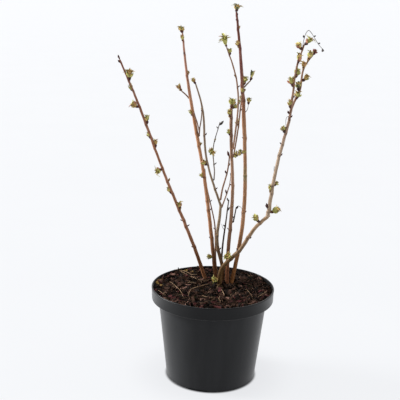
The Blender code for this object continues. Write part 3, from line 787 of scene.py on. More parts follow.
# stalk: its thickness, as a share of the width. neck: the scaly foot's share of the length, else all of it.
# leaves: pressed together as a crown, round a core. tips: leaves that stand away, at most by open degrees.
budStyles = {
    "crown": dict(scales=9, stalk=0.50, neck=0.46, leaves=10, tips=5, open=32, core=0.56, plump=1.0),
    "slim": dict(scales=6, stalk=0.56, neck=0.30, leaves=8, tips=2, open=16, core=0.64, plump=1.22),
    "open": dict(scales=9, stalk=0.36, neck=0.38, leaves=9, tips=8, open=46, core=0.42, plump=0.8),
    "leafy": dict(scales=6, stalk=0.24, neck=0.24, leaves=8, tips=12, open=52, core=0.26, plump=0.55),
    "star": dict(scales=5, stalk=0.26, neck=0.20, leaves=6, tips=14, open=74, core=0.28, plump=0.55),
    "bunch": dict(scales=5, stalk=0.30, neck=0.20, leaves=12, tips=9, open=50, core=0.55, plump=1.05),
    "fork": dict(scales=7, stalk=0.28, neck=0.42, leaves=5, tips=2, open=22, core=0.26, plump=0.45),
    "tip": dict(scales=7, stalk=0.9),
    "spur": dict(scales=4, stalk=0.8),
    "knob": dict(scales=4, stalk=0.95),
}
# Several crowns on one twig: how far along it, the swing in degrees, then shares of its length and width.
clusters = {
    "twin": [(0, -13, 1, 0.72), (0, 17, 0.80, 0.55)],
    "pair": [(0, -8, 1, 1), (0, 60, 0.80, 0.60)],
    "spray": [(0.04 + 0.165 * k, -22 if k % 2 else 22, 0.40, 0.46) for k in range(5)],
}
# Which kinds the leaves and the scales of a bud are dealt from.
budColors = {
    "green": (("green", "green", "ochre", "green"), ("scale", "scale", "husk")),
    "ochre": (("ochre", "green", "ochre", "ochre", "green", "pink"), ("scale", "scale", "husk")),
    "golden": (("ochre", "green"), ("husk", "scale")),
    "mixed": (("ochre", "green", "ochre", "green", "pink"), ("scale",)),
    "fresh": (("green", "green", "ochre", "green", "pink"), ("scale",)),
    "pinkish": (("ochre", "pink", "green", "ochre"), ("scale",)),
    "ruddy": (("red", "red", "ochre", "red"), ("scale",)),
    "tall": (("ochre", "dusky", "ochre", "green", "ochre"), ("scale",)),
    "dusky": (("green", "dusky", "ochre"), ("scale", "dried")),
    "husk": (("ochre", "husk"), ("husk", "scale", "husk")),
    "scale": (("ochre",), ("scale",)),
    "dried": (("dusky",), ("dried",)),
}


# Shapes, one unit long, growing along +Z from the origin and leaning towards +X.

bladeShape = dict(foot=0.08, more=0.92, late=0.85, full=0.8, tip=0.02, curve=1.3)      # its outline and cup


def leafBlade(rows, width, lean, cup, pleats, serrated=0.14):
    b = bladeShape
    points, place, angle = [], Vector(), math.radians(lean[0])
    columns = (-1.0, -0.5, 0.0, 0.5, 1.0)
    across = len(columns)
    for i in range(rows + 1):
        s = i / rows
        tooth = 1 if i % 2 else -1
        share = b["foot"] + b["more"] * s ** b["late"]
        half = width * (math.sin(math.pi * share) ** b["full"] if i < rows else b["tip"])
        half *= 1 + serrated * tooth * (0 < i < rows)
        out = Vector((math.cos(angle), 0, -math.sin(angle)))
        for c in columns:
            crease = -cup * half * abs(c) ** b["curve"] + pleats * width * (0.5 - abs(c % 1)) * tooth
            points.append(place + out * crease + Vector((0, c * half, 0)))
        place = place + Vector((math.sin(angle), 0, math.cos(angle))) / rows
        angle += math.radians(lean[1] - lean[0]) / rows
    starts = [i * across + k for i in range(rows) for k in range(across - 1)]
    return points, [(k, k + 1, k + 1 + across, k + across) for k in starts]


def turned(angle, axis):
    return Matrix.Rotation(angle, 3, axis)


# Leaflets in pairs along a stalk, and one at its end.
pinnateShape = dict(
    end=0.95, droop=0.1, longest=0.42, start=0.25, more=0.6, top=0.34,
    width=0.29, curl=(0, 18), cup=0.55, pleats=0.10, stalk=0.03, stalkCup=0.8,
)


def leafPinnate(pairs, lean, spread):
    p = pinnateShape
    stations = [((k + 1) / (pairs + 1), side) for k in range(pairs) for side in (-1, 1)] + [(p["end"], 0)]
    parts = []
    for s, side in stations:
        angle = math.radians(lean[0] + (lean[1] - lean[0]) * s)
        at = Vector((math.sin(angle) * s, 0, math.cos(angle) * s * (1 - p["droop"] * s)))
        length = p["longest"] * math.sin(math.pi * (p["start"] + p["more"] * s)) if side else p["top"]
        points, faces = leafBlade(4, p["width"], p["curl"], p["cup"], p["pleats"])
        turn = turned(angle, "Y") @ turned(-side * math.radians(spread), "X")
        parts.append(([at + turn @ (point * length) for point in points], faces))
    return merged([*parts, leafBlade(4, p["stalk"], lean, p["stalkCup"], 0.0, 0.0)])


# The solid heart of a bud: a pointed egg, closed at both ends.
def budHeart(rings=6, sides=8, low=-0.06, high=1.04, late=1.15, full=0.8):
    points = [up * low]
    for i in range(rings):
        s = (i + 0.5) / rings
        reach = 0.5 * math.sin(math.pi * s ** late) ** full
        points += [polar(reach, math.tau * (k + 0.5 * (i % 2)) / sides, s) for k in range(sides)]
    return [*points, up * high], shellFaces(rings, sides)


shapes = {
    "cupped": leafBlade(7, 0.27, (36, -14), 0.75, 0.14),
    "flared": leafBlade(7, 0.25, (14, 62), 0.55, 0.18),
    "pinnate": leafPinnate(3, (6, 46), 38),
    "scale": leafBlade(4, 0.34, (20, -14), 0.5, 0.0, 0.0),
    "heart": budHeart(),
}
rng = random.Random(11)
growth = {}                  # (kind, shape) -> list of (place, turn, size)
standIn = {}                 # kind -> the CAD tufts that it has a part in
goldenTurn = math.radians(137.5)
budShape = dict(
    above=8, longer=1.05, wider=1.18,      # buds longer than this, in mm, are made bigger than planned
    stalkMost=5 * mm, overlap=0.66,        # the crown starts inside the neck, at this share of it
    upturn=0.4,              # the leaves turn up to the light
    cuppedReach=0.225,       # how far a cupped leaf reaches sideways, for a length of one
    flaredLean=38,           # how far a flared leaf leans of itself, in degrees
    lush=40,                 # styles that open wider than this have pinnate leaves too
    seat=0.62,               # how deep a bud sits on its limb, as a share of the radius
    frontLean=0.30,          # how much of the side it is on shows in its lean
)
# The parts of a bud: the ranges of their random draws, and their places and sizes as shares of its own.
scaleShape = dict(
    heart=1.2, spin=0.2, lean=(-3, 8), out=0.16, rise=0.55, deep=(2.2, 3.2), wide=1.3,
    tall=0.66, less=0.08, least=0.8,
)
crownShape = dict(
    heart=0.8, spin=0.3, lean=(-5, 8), out=0.12, rise=0.24, bulge=0.45, more=0.5, inset=0.08,
    deep=(0.85, 1.12), wide=(0.62, 0.95), tall=(0.82, 1.0), full=0.92, less=0.16,
)
tipShape = dict(
    start=0.4, spin=0.4, tilt=(0.25, 1.0), reach=(0.7, 0.95), within=0.60, vary=(0.85, 1.1),
    tall=(0.82, 1.0), least=0.1, lower=(0.35, 1.0), broad=(0.8, 1.15), forkBroad=0.6, out=0.10,
)


def put(kind, shape, place, turn, size, tuft):
    growth.setdefault((kind, shape), []).append((place, turn.to_euler(), size))
    if tuft:
        standIn.setdefault(kind, set()).add(tuft)


# Sets a part out from the axis of its bud and up along it, turned round the axis and leaning away from it.
def putRound(kind, shape, foot, stand, spin, lean, out, rise, size, tuft):
    spun = turned(spin, "Z")
    place = foot + stand @ (spun @ Vector((out, 0, 0)) + up * rise)
    put(kind, shape, place, stand @ spun @ turned(math.radians(lean), "Y"), Vector(size), tuft)


def growScales(base, stand, neck, stalk, kinds, count, tuft):
    s = scaleShape
    put(kinds[0], "heart", base, stand, Vector((stalk, stalk, neck * s["heart"])), tuft)
    for i in range(count):
        share = i / count
        spin = i * goldenTurn + rng.uniform(-s["spin"], s["spin"])
        lean = rng.uniform(*s["lean"])
        out, rise = stalk * s["out"], neck * s["rise"] * share
        tall = max(neck * (s["tall"] - s["less"] * share), stalk * s["least"])
        size = (stalk * rng.uniform(*s["deep"]), stalk * s["wide"], tall)
        putRound(rng.choice(kinds), "scale", base, stand, spin, lean, out, rise, size, tuft)


def growCrown(foot, stand, crown, width, plan, kinds, tuft):
    s, core = crownShape, width * plan["core"]
    put("husk", "heart", foot, stand, Vector((core, core, crown * s["heart"])), tuft)
    for i in range(plan["leaves"]):
        share = i / (plan["leaves"] - 1)
        spin = i * goldenTurn + rng.uniform(-s["spin"], s["spin"])
        lean = rng.uniform(*s["lean"])
        out, rise = width * s["out"], crown * s["rise"] * (1 - share)
        bulge = 0.5 * width * plan["plump"] * (s["bulge"] + s["more"] * share) - s["inset"] * width
        deep = bulge / budShape["cuppedReach"] * rng.uniform(*s["deep"])
        wide = width * rng.uniform(*s["wide"])
        size = (deep, wide, crown * rng.uniform(*s["tall"]) * (s["full"] - s["less"] * share))
        kind = kinds[(i + rng.randrange(2)) % len(kinds)]
        putRound(kind, "cupped", foot, stand, spin, lean, out, rise, size, tuft)


def growTips(foot, stand, crown, width, plan, kinds, tuft, fork):
    s, lush = tipShape, plan["open"] > budShape["lush"]
    for i in range(plan["tips"]):
        freely = (i + s["start"]) * goldenTurn
        spin = i * math.pi if fork else freely + rng.uniform(-s["spin"], s["spin"])
        tilt = plan["open"] * (1.0 if fork else rng.uniform(*s["tilt"]))
        slant = math.radians(min(tilt + budShape["flaredLean"], 90))
        reach = min(crown * rng.uniform(*s["reach"]), s["within"] * width / math.sin(slant))
        reach *= rng.uniform(*s["vary"])
        rise = max(crown * rng.uniform(*s["tall"]) - reach * math.cos(slant), s["least"] * crown)
        if lush:
            rise *= rng.uniform(*s["lower"])
        broad = reach * rng.uniform(*s["broad"]) * (s["forkBroad"] if fork else 1.0)
        shape = "pinnate" if lush and i % 2 else "flared"
        size = (reach, broad, reach)
        putRound(rng.choice(kinds), shape, foot, stand, spin, tilt, width * s["out"], rise, size, tuft)


def growBud(base, way, length, width, style, colors, tuft=None):
    plan = budStyles[style]
    leafKinds, scaleKinds = budColors[colors]
    stand = way.to_track_quat("Z", "X").to_matrix()
    neck = length * plan.get("neck", 1.0)
    stalk = min(width * plan["stalk"], budShape["stalkMost"])
    growScales(base, stand, neck, stalk, scaleKinds, plan["scales"], tuft)
    if "leaves" in plan:
        hidden = neck * budShape["overlap"]
        foot = base + stand @ (up * hidden)
        stand = (way + up * budShape["upturn"]).to_track_quat("Z", "X").to_matrix()
        growCrown(foot, stand, length - hidden, width, plan, leafKinds, tuft)
        growTips(foot, stand, length - hidden, width, plan, leafKinds, tuft, style == "fork")


# A node on a limb: it swells, darkens and bends a little away from its bud.
def markNode(limb, i, side):
    around = limbShape["knotLength"]
    for k, point in enumerate(limb.points):
        limb.knots[k] = max(limb.knots[k], math.exp(-((point - limb.points[i]).length / around) ** 2))
        wide = math.exp(-((point - limb.points[i]).length / (3 * around)) ** 2)
        point -= side * limb.radii[i] * limbShape["bend"] * wide


def growSideBuds(limb, rows):
    for height, turn, tilt, length, width, *look in rows:
        style, colors = look or ("spur", "scale")
        i = limb.atHeight(height * mm) if height > 1 else round(height * (len(limb.points) - 1))
        along, side = limb.heading(i), polar(1, math.radians(turn), 0)
        lean = math.radians(tilt + rng.uniform(-2, 2))
        front = budShape["frontLean"] * side.y + rng.uniform(-0.08, 0.08)
        way = Vector((math.sin(lean), front, math.cos(lean))).normalized()
        side = (side - along * side.dot(along)).normalized()
        base = limb.points[i] + side * limb.radii[i] * budShape["seat"]
        if length > budShape["above"]:
            length, width = length * budShape["longer"], width * budShape["wider"]
        growBud(base, way, length * mm, width * mm, style, colors)
        markNode(limb, i, side)


def growTuft(name, limbName, style, colors, longer=1, wider=1):
    limb = limbs[limbName]
    corners = [v.co.copy() for v in frame["nodes"][name].data.vertices]
    i = limb.near(min(corners, key=lambda p: min((p - q).length for q in limb.points)))
    base = limb.points[i].copy()
    way = (sum(corners, Vector()) / len(corners) - base).normalized()
    length = longer * max((p - base).dot(way) for p in corners)
    width = wider * 2 * max((p - base - way * (p - base).dot(way)).length for p in corners)
    side = way - limb.heading(i) * way.dot(limb.heading(i))
    if style == "spray":
        way = (max(corners, key=lambda p: (p - base).length) - base).normalized()
    part = "crown" if style in clusters else style
    for along, swing, long, broad in clusters.get(style, [(0, 0, 1, 1)]):
        swung = turned(math.radians(swing), "Y") @ way
        growBud(base + way * length * along, swung, length * long, width * broad, part, colors, name)
    if i < len(limb.points) - 1 and side.length > 0.1:
        markNode(limb, i, side.normalized())


for name, rows in budPlan.items():
    growSideBuds(limbs[name], rows)
for name, plan in tuftPlan.items():
    growTuft(name, *plan)
print("buds placed:", sum(len(rows) for rows in growth.values()), "parts")


def growBark(limb, offset):
    first = limb.points[0]
    if limb.parent:
        carrier = limbs[limb.parent]
        start = carrier.points[carrier.near(first)]
        swell, knots = limbShape["branchSwell"], limbShape["branchKnots"]
    else:
        start = first - limb.heading(0) * limbShape["sink"]
        swell, knots = limbShape["footSwell"], (0.0, limb.knots[0])
    knots = [*knots, *limb.knots[1:]]
    radii = [limb.radii[0] * swell[0], limb.radii[0] * swell[1], *limb.radii[1:]]
    radii = [r * (1 + limbShape["knotSwell"] * k) for r, k in zip(radii, knots)]
    name = f"bark_{limb.name}"
    return skinned(name, [start, *limb.points], radii, knots, "limb", offset, finishes[limb.tint])


# Twigs too fine for a limb of their own: the limb, the height on it, the path in mm from there and its
# thickness, then the bud at the end: tilt, length, width, style and colours.
sprigPlan = {
    "twig": [
        ("stem_tall", 481, [(5, -2, 6), (7, -3, 12), (7.6, -3, 17)], 1.1, (4, 13, 9.0, "crown", "green")),
        ("bough_middle_right", 349, [(0.8, 0, 8), (1.6, 0, 17)], 1.4, (5, 7, 2.6, "tip", "scale"))],
    "dead": [
        ("stem_right_rise", 389, [(-2.4, -1, 4), (-2.6, -2, 13)], 0.9, None),
        ("bough_right_outer", 489, [(-4.5, -2, -1), (-6.6, -3, -6), (-6.4, -3, -16)], 0.8, None),
        ("stub_dead", 312, [(3, -1, 2.5), (8, -2, 0.5), (12, -2, -6)], 0.8, None),
        ("stem_dead_thin", 262, [(-4, -1, 5), (-6, -1, 12)], 0.8, None)],
}
sprigShape = dict(start=1.25, taper=0.5, knots=0.6, offset=0.3, front=-0.1)


def growSprigs(tint):
    s, meshes = sprigShape, []
    for limbName, height, path, thick, bud in sprigPlan[tint]:
        limb = limbs[limbName]
        start = limb.points[limb.atHeight(height * mm)]
        points = [start] + [start + Vector(offset) * mm for offset in path]
        radii = [thick * mm * 0.5 * (s["start"] - s["taper"] * k / len(path)) for k in range(len(points))]
        knots = [s["knots"] * (k % 2) for k in range(len(points))]
        offset = s["offset"] * len(meshes)
        meshes.append(skinned(f"sprig_{limbName}", points, radii, knots, "sprig", offset, finishes[tint]))
        if bud:
            tilt, length, width, style, colors = bud
            way = Vector((math.sin(math.radians(tilt)), s["front"], 1)).normalized()
            growBud(points[-1], way, length * mm, width * mm, style, colors)
    return joined(f"bark_sprigs_{tint}", meshes, finishes[tint])


def barkSlot(tint):
    return "grey_bark" if tint in deadTints else "brown_bark"


finishes = {tint: barkFinish(tint) for tint in barkTints}
for index, limb in enumerate(limbs.values()):
    skin = growBark(limb, 0.37 * index)
    skin.shade_smooth()
    placed(asPiece(f"bark_{limb.name}", skin), barkSlot(limb.tint), limb.name)
for tint in sprigPlan:
    placed(growSprigs(tint), barkSlot(tint))
print("bark done")


def growShapes():
    templates = {}
    for name, (points, faces) in shapes.items():
        templates[name] = asPiece(f"template_{name}", meshFrom(name, points, faces))
    byKind = {}
    for (kind, shape), rows in growth.items():
        places, turns, sizes = zip(*rows)
        points = meshFrom(f"{kind}_{shape}", places, turn=turns, size=sizes)
        values = {"Shape": templates[shape], "Finish": budFinishes[kind]}
        byKind.setdefault(kind, []).append(throughNodes(f"{kind}_{shape}", points, copies, values))
    for template in templates.values():
        bpy.data.objects.remove(template)
    return byKind


budFinishes = {kind: leafFinish(kind) for kind in leafColors}
slotOfKind = {"scale": "brown_bark", "husk": "brown_bark", "dried": "grey_bark"}
for kind, meshes in growShapes().items():
    name = f"bud_{kind}s" if kind in ("scale", "husk") else f"leaves_{kind}"
    piece = joined(name, meshes, budFinishes[kind])
    placed(piece, slotOfKind.get(kind, "bud_green"), *sorted(standIn.get(kind, ())))
print("leaves, scales and buds done")


# The pot, turned from one outline. Its sizes are those of the part, in mm.
potShape = dict(
    height=171.5, rim=111.5, collar=110.6, collarDepth=22.5, shoulder=98.5, foot=82.0,
    wall=1.6, lip=2.4, edge=1.2, base=6.0, baseThick=2.0, footWidth=3.0, footRound=3.0, boss=14.0,
    corner=2.4, crease=1.0, softEdge=0.84, bevel=0.5, bossBevel=0.4, sharp=38,
    lipStep=0.5, lipInside=(3.2, 2.4),      # the lip swells inwards between these depths, in lips
    lipUnder=((0, 2.6), (0.35, 3.4)),       # in from the rim and down from the top
    steps=192, holes=8, holeRadius=6.0, holeCircle=58.0, holeDepth=9.0,
    notches=3, notchTurn=-106.5, notchWidth=38.0, notchHeight=3.5, notchDepth=11.0, notchPower=0.35,
)
ledge = potShape["height"] - potShape["collarDepth"]


def arc(middle, radius, start, stop, steps=4):
    angles = [math.radians(start + (stop - start) * i / steps) for i in range(steps + 1)]
    return [(middle[0] + radius * math.cos(a), middle[1] + radius * math.sin(a)) for a in angles]


def wallAt(height):
    p = potShape
    return p["foot"] + (p["shoulder"] - p["foot"]) * (height - p["footRound"]) / (ledge - p["footRound"])


def potOutline():
    p = potShape
    top, e, w, f, c = p["height"], p["edge"], p["wall"], p["footRound"], p["corner"]
    floor, lipIn, soft, step = p["base"] + p["baseThick"], p["rim"] - p["lip"], p["softEdge"], p["crease"]
    footIn = p["foot"] - f / 2 - p["footWidth"]
    lipStart, lipEnd = (top - depth * p["lip"] for depth in p["lipInside"])
    return [
        (0, floor),
        *arc((wallAt(floor) - w - c, floor + c), c, -90, 0),
        *arc((wallAt(ledge) - w + e, ledge + w - e), e, 180, 90),
        *arc((p["collar"] - w - e, ledge + w + e), e, -90, 0),
        (lipIn - p["lipStep"], lipStart), (lipIn, lipEnd), (lipIn, top - e),
        *arc((lipIn + soft, top - soft), soft, 180, 90),
        *arc((p["rim"] - e, top - e), e, 100, -10, 6),
        *[(p["rim"] - x, top - y) for x, y in p["lipUnder"]],
        *arc((p["collar"] - e, ledge + e), e, 0, -90),
        *arc((p["shoulder"] + step, ledge - step), step, 90, 180),
        *[(wallAt(ledge * share), ledge * share) for share in (0.75, 0.5, 0.25)],
        *arc((p["foot"] - f, f), f, 0, -70),
        (footIn + p["bevel"], 0), (footIn, p["bevel"]), (footIn, p["base"]), (p["boss"], p["base"]),
        (p["boss"], p["bossBevel"]), (p["boss"] - p["bossBevel"], 0), (0, 0),
    ]


def turnedMesh(name, outline, steps):
    points, faces, rings = [], [], []
    for radius, height in outline:
        count = steps if radius else 1      # one point on the axis, else a ring
        rings.append([len(points) + k for k in range(count)])
        points += [polar(radius, math.tau * k / steps, height) * mm for k in range(count)]
    for a, b in zip(rings, rings[1:]):
        for k in range(steps):
            n = (k + 1) % steps
            corners = [a[k % len(a)], a[n % len(a)], b[n % len(b)], b[k % len(b)]]
            faces.append(tuple(dict.fromkeys(corners)))
    return meshFrom(name, points, faces)


def potCutters():
    p = potShape
    build = bmesh.new()
    radius = p["holeRadius"] * mm
    for i in range(p["holes"]):
        turn = Matrix.Rotation((i + 0.5) * math.tau / p["holes"], 4, "Z")
        place = turn @ Matrix.Translation((p["holeCircle"] * mm, 0, (p["base"] + 1) * mm))
        bmesh.ops.create_cone(build, cap_ends=True, segments=32, radius1=radius, radius2=radius,
                              depth=p["holeDepth"] * mm, matrix=place)
    reach = p["foot"] - (p["footWidth"] + p["footRound"]) / 2
    halves = (p["notchHeight"] * mm, 0.5 * p["notchWidth"] * mm)
    for i in range(p["notches"]):
        turn = Matrix.Rotation(math.radians(p["notchTurn"]) + i * math.tau / p["notches"], 4, "Z")
        place = turn @ Matrix.Translation((reach * mm, 0, 0)) @ Matrix.Rotation(math.pi / 2, 4, "Y")
        start = len(build.verts)
        bmesh.ops.create_cone(build, cap_ends=True, segments=48, radius1=0.5, radius2=0.5,
                              depth=p["notchDepth"] * mm)
        made = list(build.verts)[start:]
        for v in made:      # a flat oval, so that the notch has soft shoulders
            for axis, half in enumerate(halves):
                v.co[axis] = math.copysign(abs(2 * v.co[axis]) ** p["notchPower"], v.co[axis]) * half
        bmesh.ops.transform(build, matrix=place, verts=made)
    bmesh.ops.recalc_face_normals(build, faces=build.faces)
    return asPiece("pot_cutters", meshOf("pot_cutters", build))


def makePot():
    obj = asPiece("pot_turned", turnedMesh("pot", potOutline(), potShape["steps"]))
    cutters = potCutters()
    cut = obj.modifiers.new("cuts", "BOOLEAN")
    cut.operation = "DIFFERENCE"
    cut.solver = "EXACT"
    cut.object = cutters
    mesh = settled(obj)
    bpy.data.objects.remove(cutters)
    mesh.shade_smooth()
    mesh.set_sharp_from_angle(angle=math.radians(potShape["sharp"]))
    return asPiece("nursery_pot", mesh, plasticFinish())


placed(makePot(), "black_plastic", "pot")
print("pot done")


# The soil bed, then what lies on it. Sizes in mm.
soilShape = dict(
    rings=64, steps=168, crowding=0.9,      # the rings are closer together near the wall
    top=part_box("soil")[1].z / mm, sunk=1.6, fall=3.2,      # lower than its solid, most so by the wall
    front=4.0, back=3.2,                    # but heaped up there, in front and at the back
    swell=1.3, swellWidth=38.0, swellLayer=9.0, lump=2.2, lumpWidth=9.0, lumpLayer=3.0,
    fractal=(0.9, 2.1, 4), calm=0.35,       # the lumps' roughness, and the share of them mid-pot
    gap=0.35, litterGap=0.4, margin=3.0, rimDrop=1.6, lap=1, bevel=3,
    shadeSpot=Vector((25.0, -8.0)), shadeSpotWidth=15.0,      # painted shadow: bare dark peat in front of the stems
    patchWidth=26.0, mossFrom=0.16, mossRate=6, heapTo=0.3, heapRate=3, heapLeast=0.35,
)


def soilHeight(x, y, lumpy=1.0):
    s = soilShape
    away = math.hypot(x, y) / potShape["collar"]
    lumps = noise.fractal(Vector((x, y, s["lumpLayer"])) / s["lumpWidth"], *s["fractal"])
    swell = noise.noise(Vector((x, y, s["swellLayer"])) / s["swellWidth"])
    heap = (s["back"] if y > 0 else s["front"]) * abs(y) / potShape["collar"] * away ** 3
    rough = s["lump"] * lumpy * lumps * (s["calm"] + (1 - s["calm"]) * away)
    return s["top"] - s["sunk"] - s["fall"] * away ** 2 + heap + s["swell"] * swell + rough


def makeSoilBed():
    p, s = potShape, soilShape
    wall, gap, lap, bevel, count = p["wall"], s["gap"], s["lap"], s["bevel"], s["steps"]
    edge = p["collar"] - wall - gap
    base = p["base"] + p["baseThick"] + gap
    shelf = ledge + wall
    levels = [(edge * (i / s["rings"]) ** s["crowding"], None) for i in range(1, s["rings"] + 1)]
    levels += [(edge, shelf + s["rimDrop"]), (edge - potShape["edge"], shelf + gap),
               (wallAt(ledge) - wall + lap, shelf + gap), (wallAt(ledge) - wall - gap, ledge - lap),
               (wallAt(base + bevel) - wall - gap, base + bevel), (wallAt(base) - wall - gap - bevel, base)]
    points = [up * soilHeight(0, 0) * mm]
    for radius, height in levels:
        for k in range(count):
            point = polar(radius, math.tau * k / count, height or 0.0)
            if height is None:
                point.z = soilHeight(point.x, point.y)
            points.append(point * mm)
    points.append(up * base * mm)
    faces = [(face[0], *face[:0:-1]) for face in shellFaces(len(levels), count)]
    clear, mossy, heaps = [], [], []
    for i, point in enumerate(points):
        flat = point.xy / mm
        onTop = i <= s["rings"] * count and flat.length < edge - s["margin"]
        patch = noise.noise(Vector((point.x, point.y, 0.07)) / (s["patchWidth"] * mm))
        # Painted shadow: nothing is strewn near the spot in front of the stems, so the dark bed shows there
        # as their shadow.
        clear.append(min(1.0, ((flat - s["shadeSpot"]).length / s["shadeSpotWidth"]) ** 3) if onTop else 0.0)
        mossy.append(clear[i] * clamped((patch - s["mossFrom"]) * s["mossRate"]))
        heaped = clamped((s["heapTo"] - patch) * s["heapRate"])
        heaps.append(clear[i] * (s["heapLeast"] + (1 - s["heapLeast"]) * heaped))
    return meshFrom("soil_bed", points, faces, anywhere=clear, mossy=mossy, heaps=heaps)


# Chips of bark: flat, split along the grain, with torn ends. Seed, length, width and thickness of each form.
chipForms = [(1.3, 1.0, 0.42, 0.16), (2.7, 1.0, 0.30, 0.12), (4.1, 0.8, 0.55, 0.14), (5.9, 1.1, 0.22, 0.13),
             (7.7, 0.9, 0.38, 0.20)]


def chipShape(seed, long, wide, thick, fine=3, along=0.35, across=0.4, narrow=0.35, bend=1.1):
    build = bmesh.new()
    bmesh.ops.create_cube(build, size=1.0)
    bmesh.ops.subdivide_edges(build, edges=build.edges[:], cuts=1, use_grid_fill=True)
    for v in build.verts:
        v.co.x *= long * (1 + along * noise.noise(v.co * fine + Vector((seed, 0, 0))))
        v.co.y *= wide * (1 + across * noise.noise(v.co * fine + Vector((0, seed, 0))))
        v.co.z *= thick
        v.co.y *= 1 - narrow * abs(v.co.x / long) ** 2
        v.co.z += thick * bend * noise.noise(Vector((v.co.x / long * 2, v.co.y, seed)))
    return meshOf(f"chip_{seed}", build)


# A crumb of peat.
def crumbShape(seed, fine=3, rough=0.5, flat=0.7):
    build = bmesh.new()
    bmesh.ops.create_icosphere(build, subdivisions=1, radius=0.5)
    for v in build.verts:
        v.co *= 1 + rough * noise.noise(v.co * fine + Vector((seed, seed, 0)))
        v.co.z *= flat
    return meshOf(f"crumb_{seed}", build)


# A loose fibre: a thin, three-sided hair. It wanders along, across and up: by how much, how often, layer.
fibreWaves = [(0.08, 3, 0), (0.35, 2.2, 4), (0.18, 2.5, 9)]


def fibreShape(seed, rows=7, sides=3, radius=0.018, lift=0.05):
    points = []
    for i in range(rows):
        s = i / (rows - 1) - 0.5
        x, y, z = (most * noise.noise(Vector((s * fine, seed, layer))) for most, fine, layer in fibreWaves)
        middle = Vector((s + x, y, lift + z))
        points += [middle + polar(radius, math.tau * k / sides, 0).zxy for k in range(sides)]
    last = len(points) - sides
    faces = [*bandFaces(rows, sides), (2, 1, 0), (last, last + 1, last + 2)]
    return meshFrom(f"fibre_{seed}", points, faces)


# A tuft of moss: a few pointed blades from one foot.
def mossShape(seed, blades=7, turn=2.4, half=0.09, lean=0.25, more=0.09, start=0.05, knee=0.35, height=0.62):
    parts = []
    for k in range(blades):
        out = polar(1, k * turn + seed, 0)
        side = Vector((-out.y, out.x, 0)) * half
        tilt = lean + more * k
        foot, middle, tip = out * start, out * tilt * 0.5 + up * knee, out * tilt + up * height
        corners = [foot - side, foot + side, middle + side, middle - side, tip]
        parts.append((corners, [(3, 2, 1, 0), (4, 2, 3)]))
    return meshFrom(f"moss_{seed}", *merged(parts))


# What is strewn: kind, shape, number to a square metre, sizes in mm, tilt in degrees, lift in mm and where.
litterPlan = {
    "crumbs": ("peat", "crumb", 60000, (1.6, 4.6), 160, 1.6, "anywhere"),
    "chips_black": ("black", "chip", 21000, (5, 16), 80, 2.6, "anywhere"),
    "chips_brown": ("brown", "chip", 19000, (4, 16), 80, 3.4, "anywhere"),
    "chips_russet": ("russet", "chip", 4200, (5, 15), 80, 3.8, "heaps"),
    "chips_tan": ("tan", "chip", 1500, (4, 12), 80, 4.4, "heaps"),
    "fibres": ("fibre", "fibre", 7000, (8, 22), 40, 3.4, "anywhere"),
    "moss": ("moss", "moss", 90000, (2.0, 4.2), 50, 0.6, "mossy"),
}
litterSeed = 40


def keepInside(mesh):         # what would go through the pot's wall is pressed against it
    inside = (potShape["collar"] - potShape["wall"] - soilShape["litterGap"]) * mm
    for v in mesh.vertices:
        v.co.xy *= inside / max(v.co.xy.length, inside)


def makeLitter(bed):
    meshes = {
        "crumb": [crumbShape(seed) for seed in (1, 2, 3)],
        "chip": [chipShape(*form) for form in chipForms],
        "fibre": [fibreShape(seed) for seed in (1, 5, 8)],
        "moss": [mossShape(seed) for seed in (1, 2)],
    }
    for seed, (name, plan) in enumerate(litterPlan.items(), litterSeed):
        kind, shape, density, size, tilt, lift, where = plan
        group = bpy.data.collections.new(f"shapes_{name}")
        bpy.context.scene.collection.children.link(group)
        for i, mesh in enumerate(meshes[shape]):
            group.objects.link(bpy.data.objects.new(f"{name}_{i}", mesh))
        values = {"Shapes": group, "Density": float(density), "Least": size[0] * mm, "Most": size[1] * mm,
                  "Tilt": math.radians(tilt), "Lift": lift * mm, "Seed": seed, "Where": where,
                  "Finish": soilFinish(kind)}
        mesh = throughNodes(name, bed.copy(), strewn, values)
        for obj in list(group.objects):
            bpy.data.objects.remove(obj)
        bpy.data.collections.remove(group)
        keepInside(mesh)
        placed(asPiece(f"soil_{name}", mesh), "dark_soil")


# Larger bits that the eye finds: place (x, y) in mm, turn and tip in degrees, length, width and thickness.
chipPlan = {
    "tan": [
        (-88, -60, 20, 25, 11, 7, 3), (-61, -70, -15, 30, 12, 7, 3), (-18, -66, 10, 35, 11, 8, 3),
        (25, -57, -30, 30, 13, 7, 3), (39, -45, 15, 35, 10, 7, 3), (50, 5, 40, 20, 11, 5, 3),
        (93, -30, -40, 25, 12, 5, 3), (-96, 24, 70, 30, 9, 6, 3), (66, -76, 25, 20, 13, 4, 2.5),
        (-76, 62, -10, 20, 15, 7, 3), (24, -95, 5, 50, 14, 9, 2.5), (72, -70, 35, 40, 11, 6, 2.5)],
    "russet": [
        (-70, -55, 10, 30, 13, 6, 3), (-62, -62, 60, 25, 12, 6, 3), (-76, -47, -30, 30, 11, 6, 3),
        (-55, -76, 0, 35, 12, 6, 3), (44, -70, 30, 25, 14, 6, 3), (30, -74, -10, 30, 12, 7, 3),
        (56, -62, 50, 30, 12, 6, 3), (8, -48, 85, 25, 12, 4, 3), (84, -48, 30, 30, 13, 6, 3),
        (96, -14, 70, 25, 12, 6, 3), (2, -80, 15, 35, 13, 7, 3), (-30, -88, -5, 40, 12, 7, 3)],
    "ochre": [
        (-100, 18, 60, 35, 12, 9, 4), (-98, 30, 20, 30, 13, 8, 4), (-95, 8, -30, 25, 9, 7, 3),
        (-52, 84, 10, 25, 12, 5, 3), (-40, 80, -20, 20, 11, 5, 3)],
    "brown": [
        (20, 46, 30, 20, 18, 10, 3), (44, 60, -20, 20, 16, 9, 3), (-38, -20, 5, 25, 17, 8, 3),
        (62, 28, 15, 20, 17, 9, 3), (-14, 74, 60, 20, 17, 9, 3), (-82, -10, -50, 25, 15, 8, 3)],
}
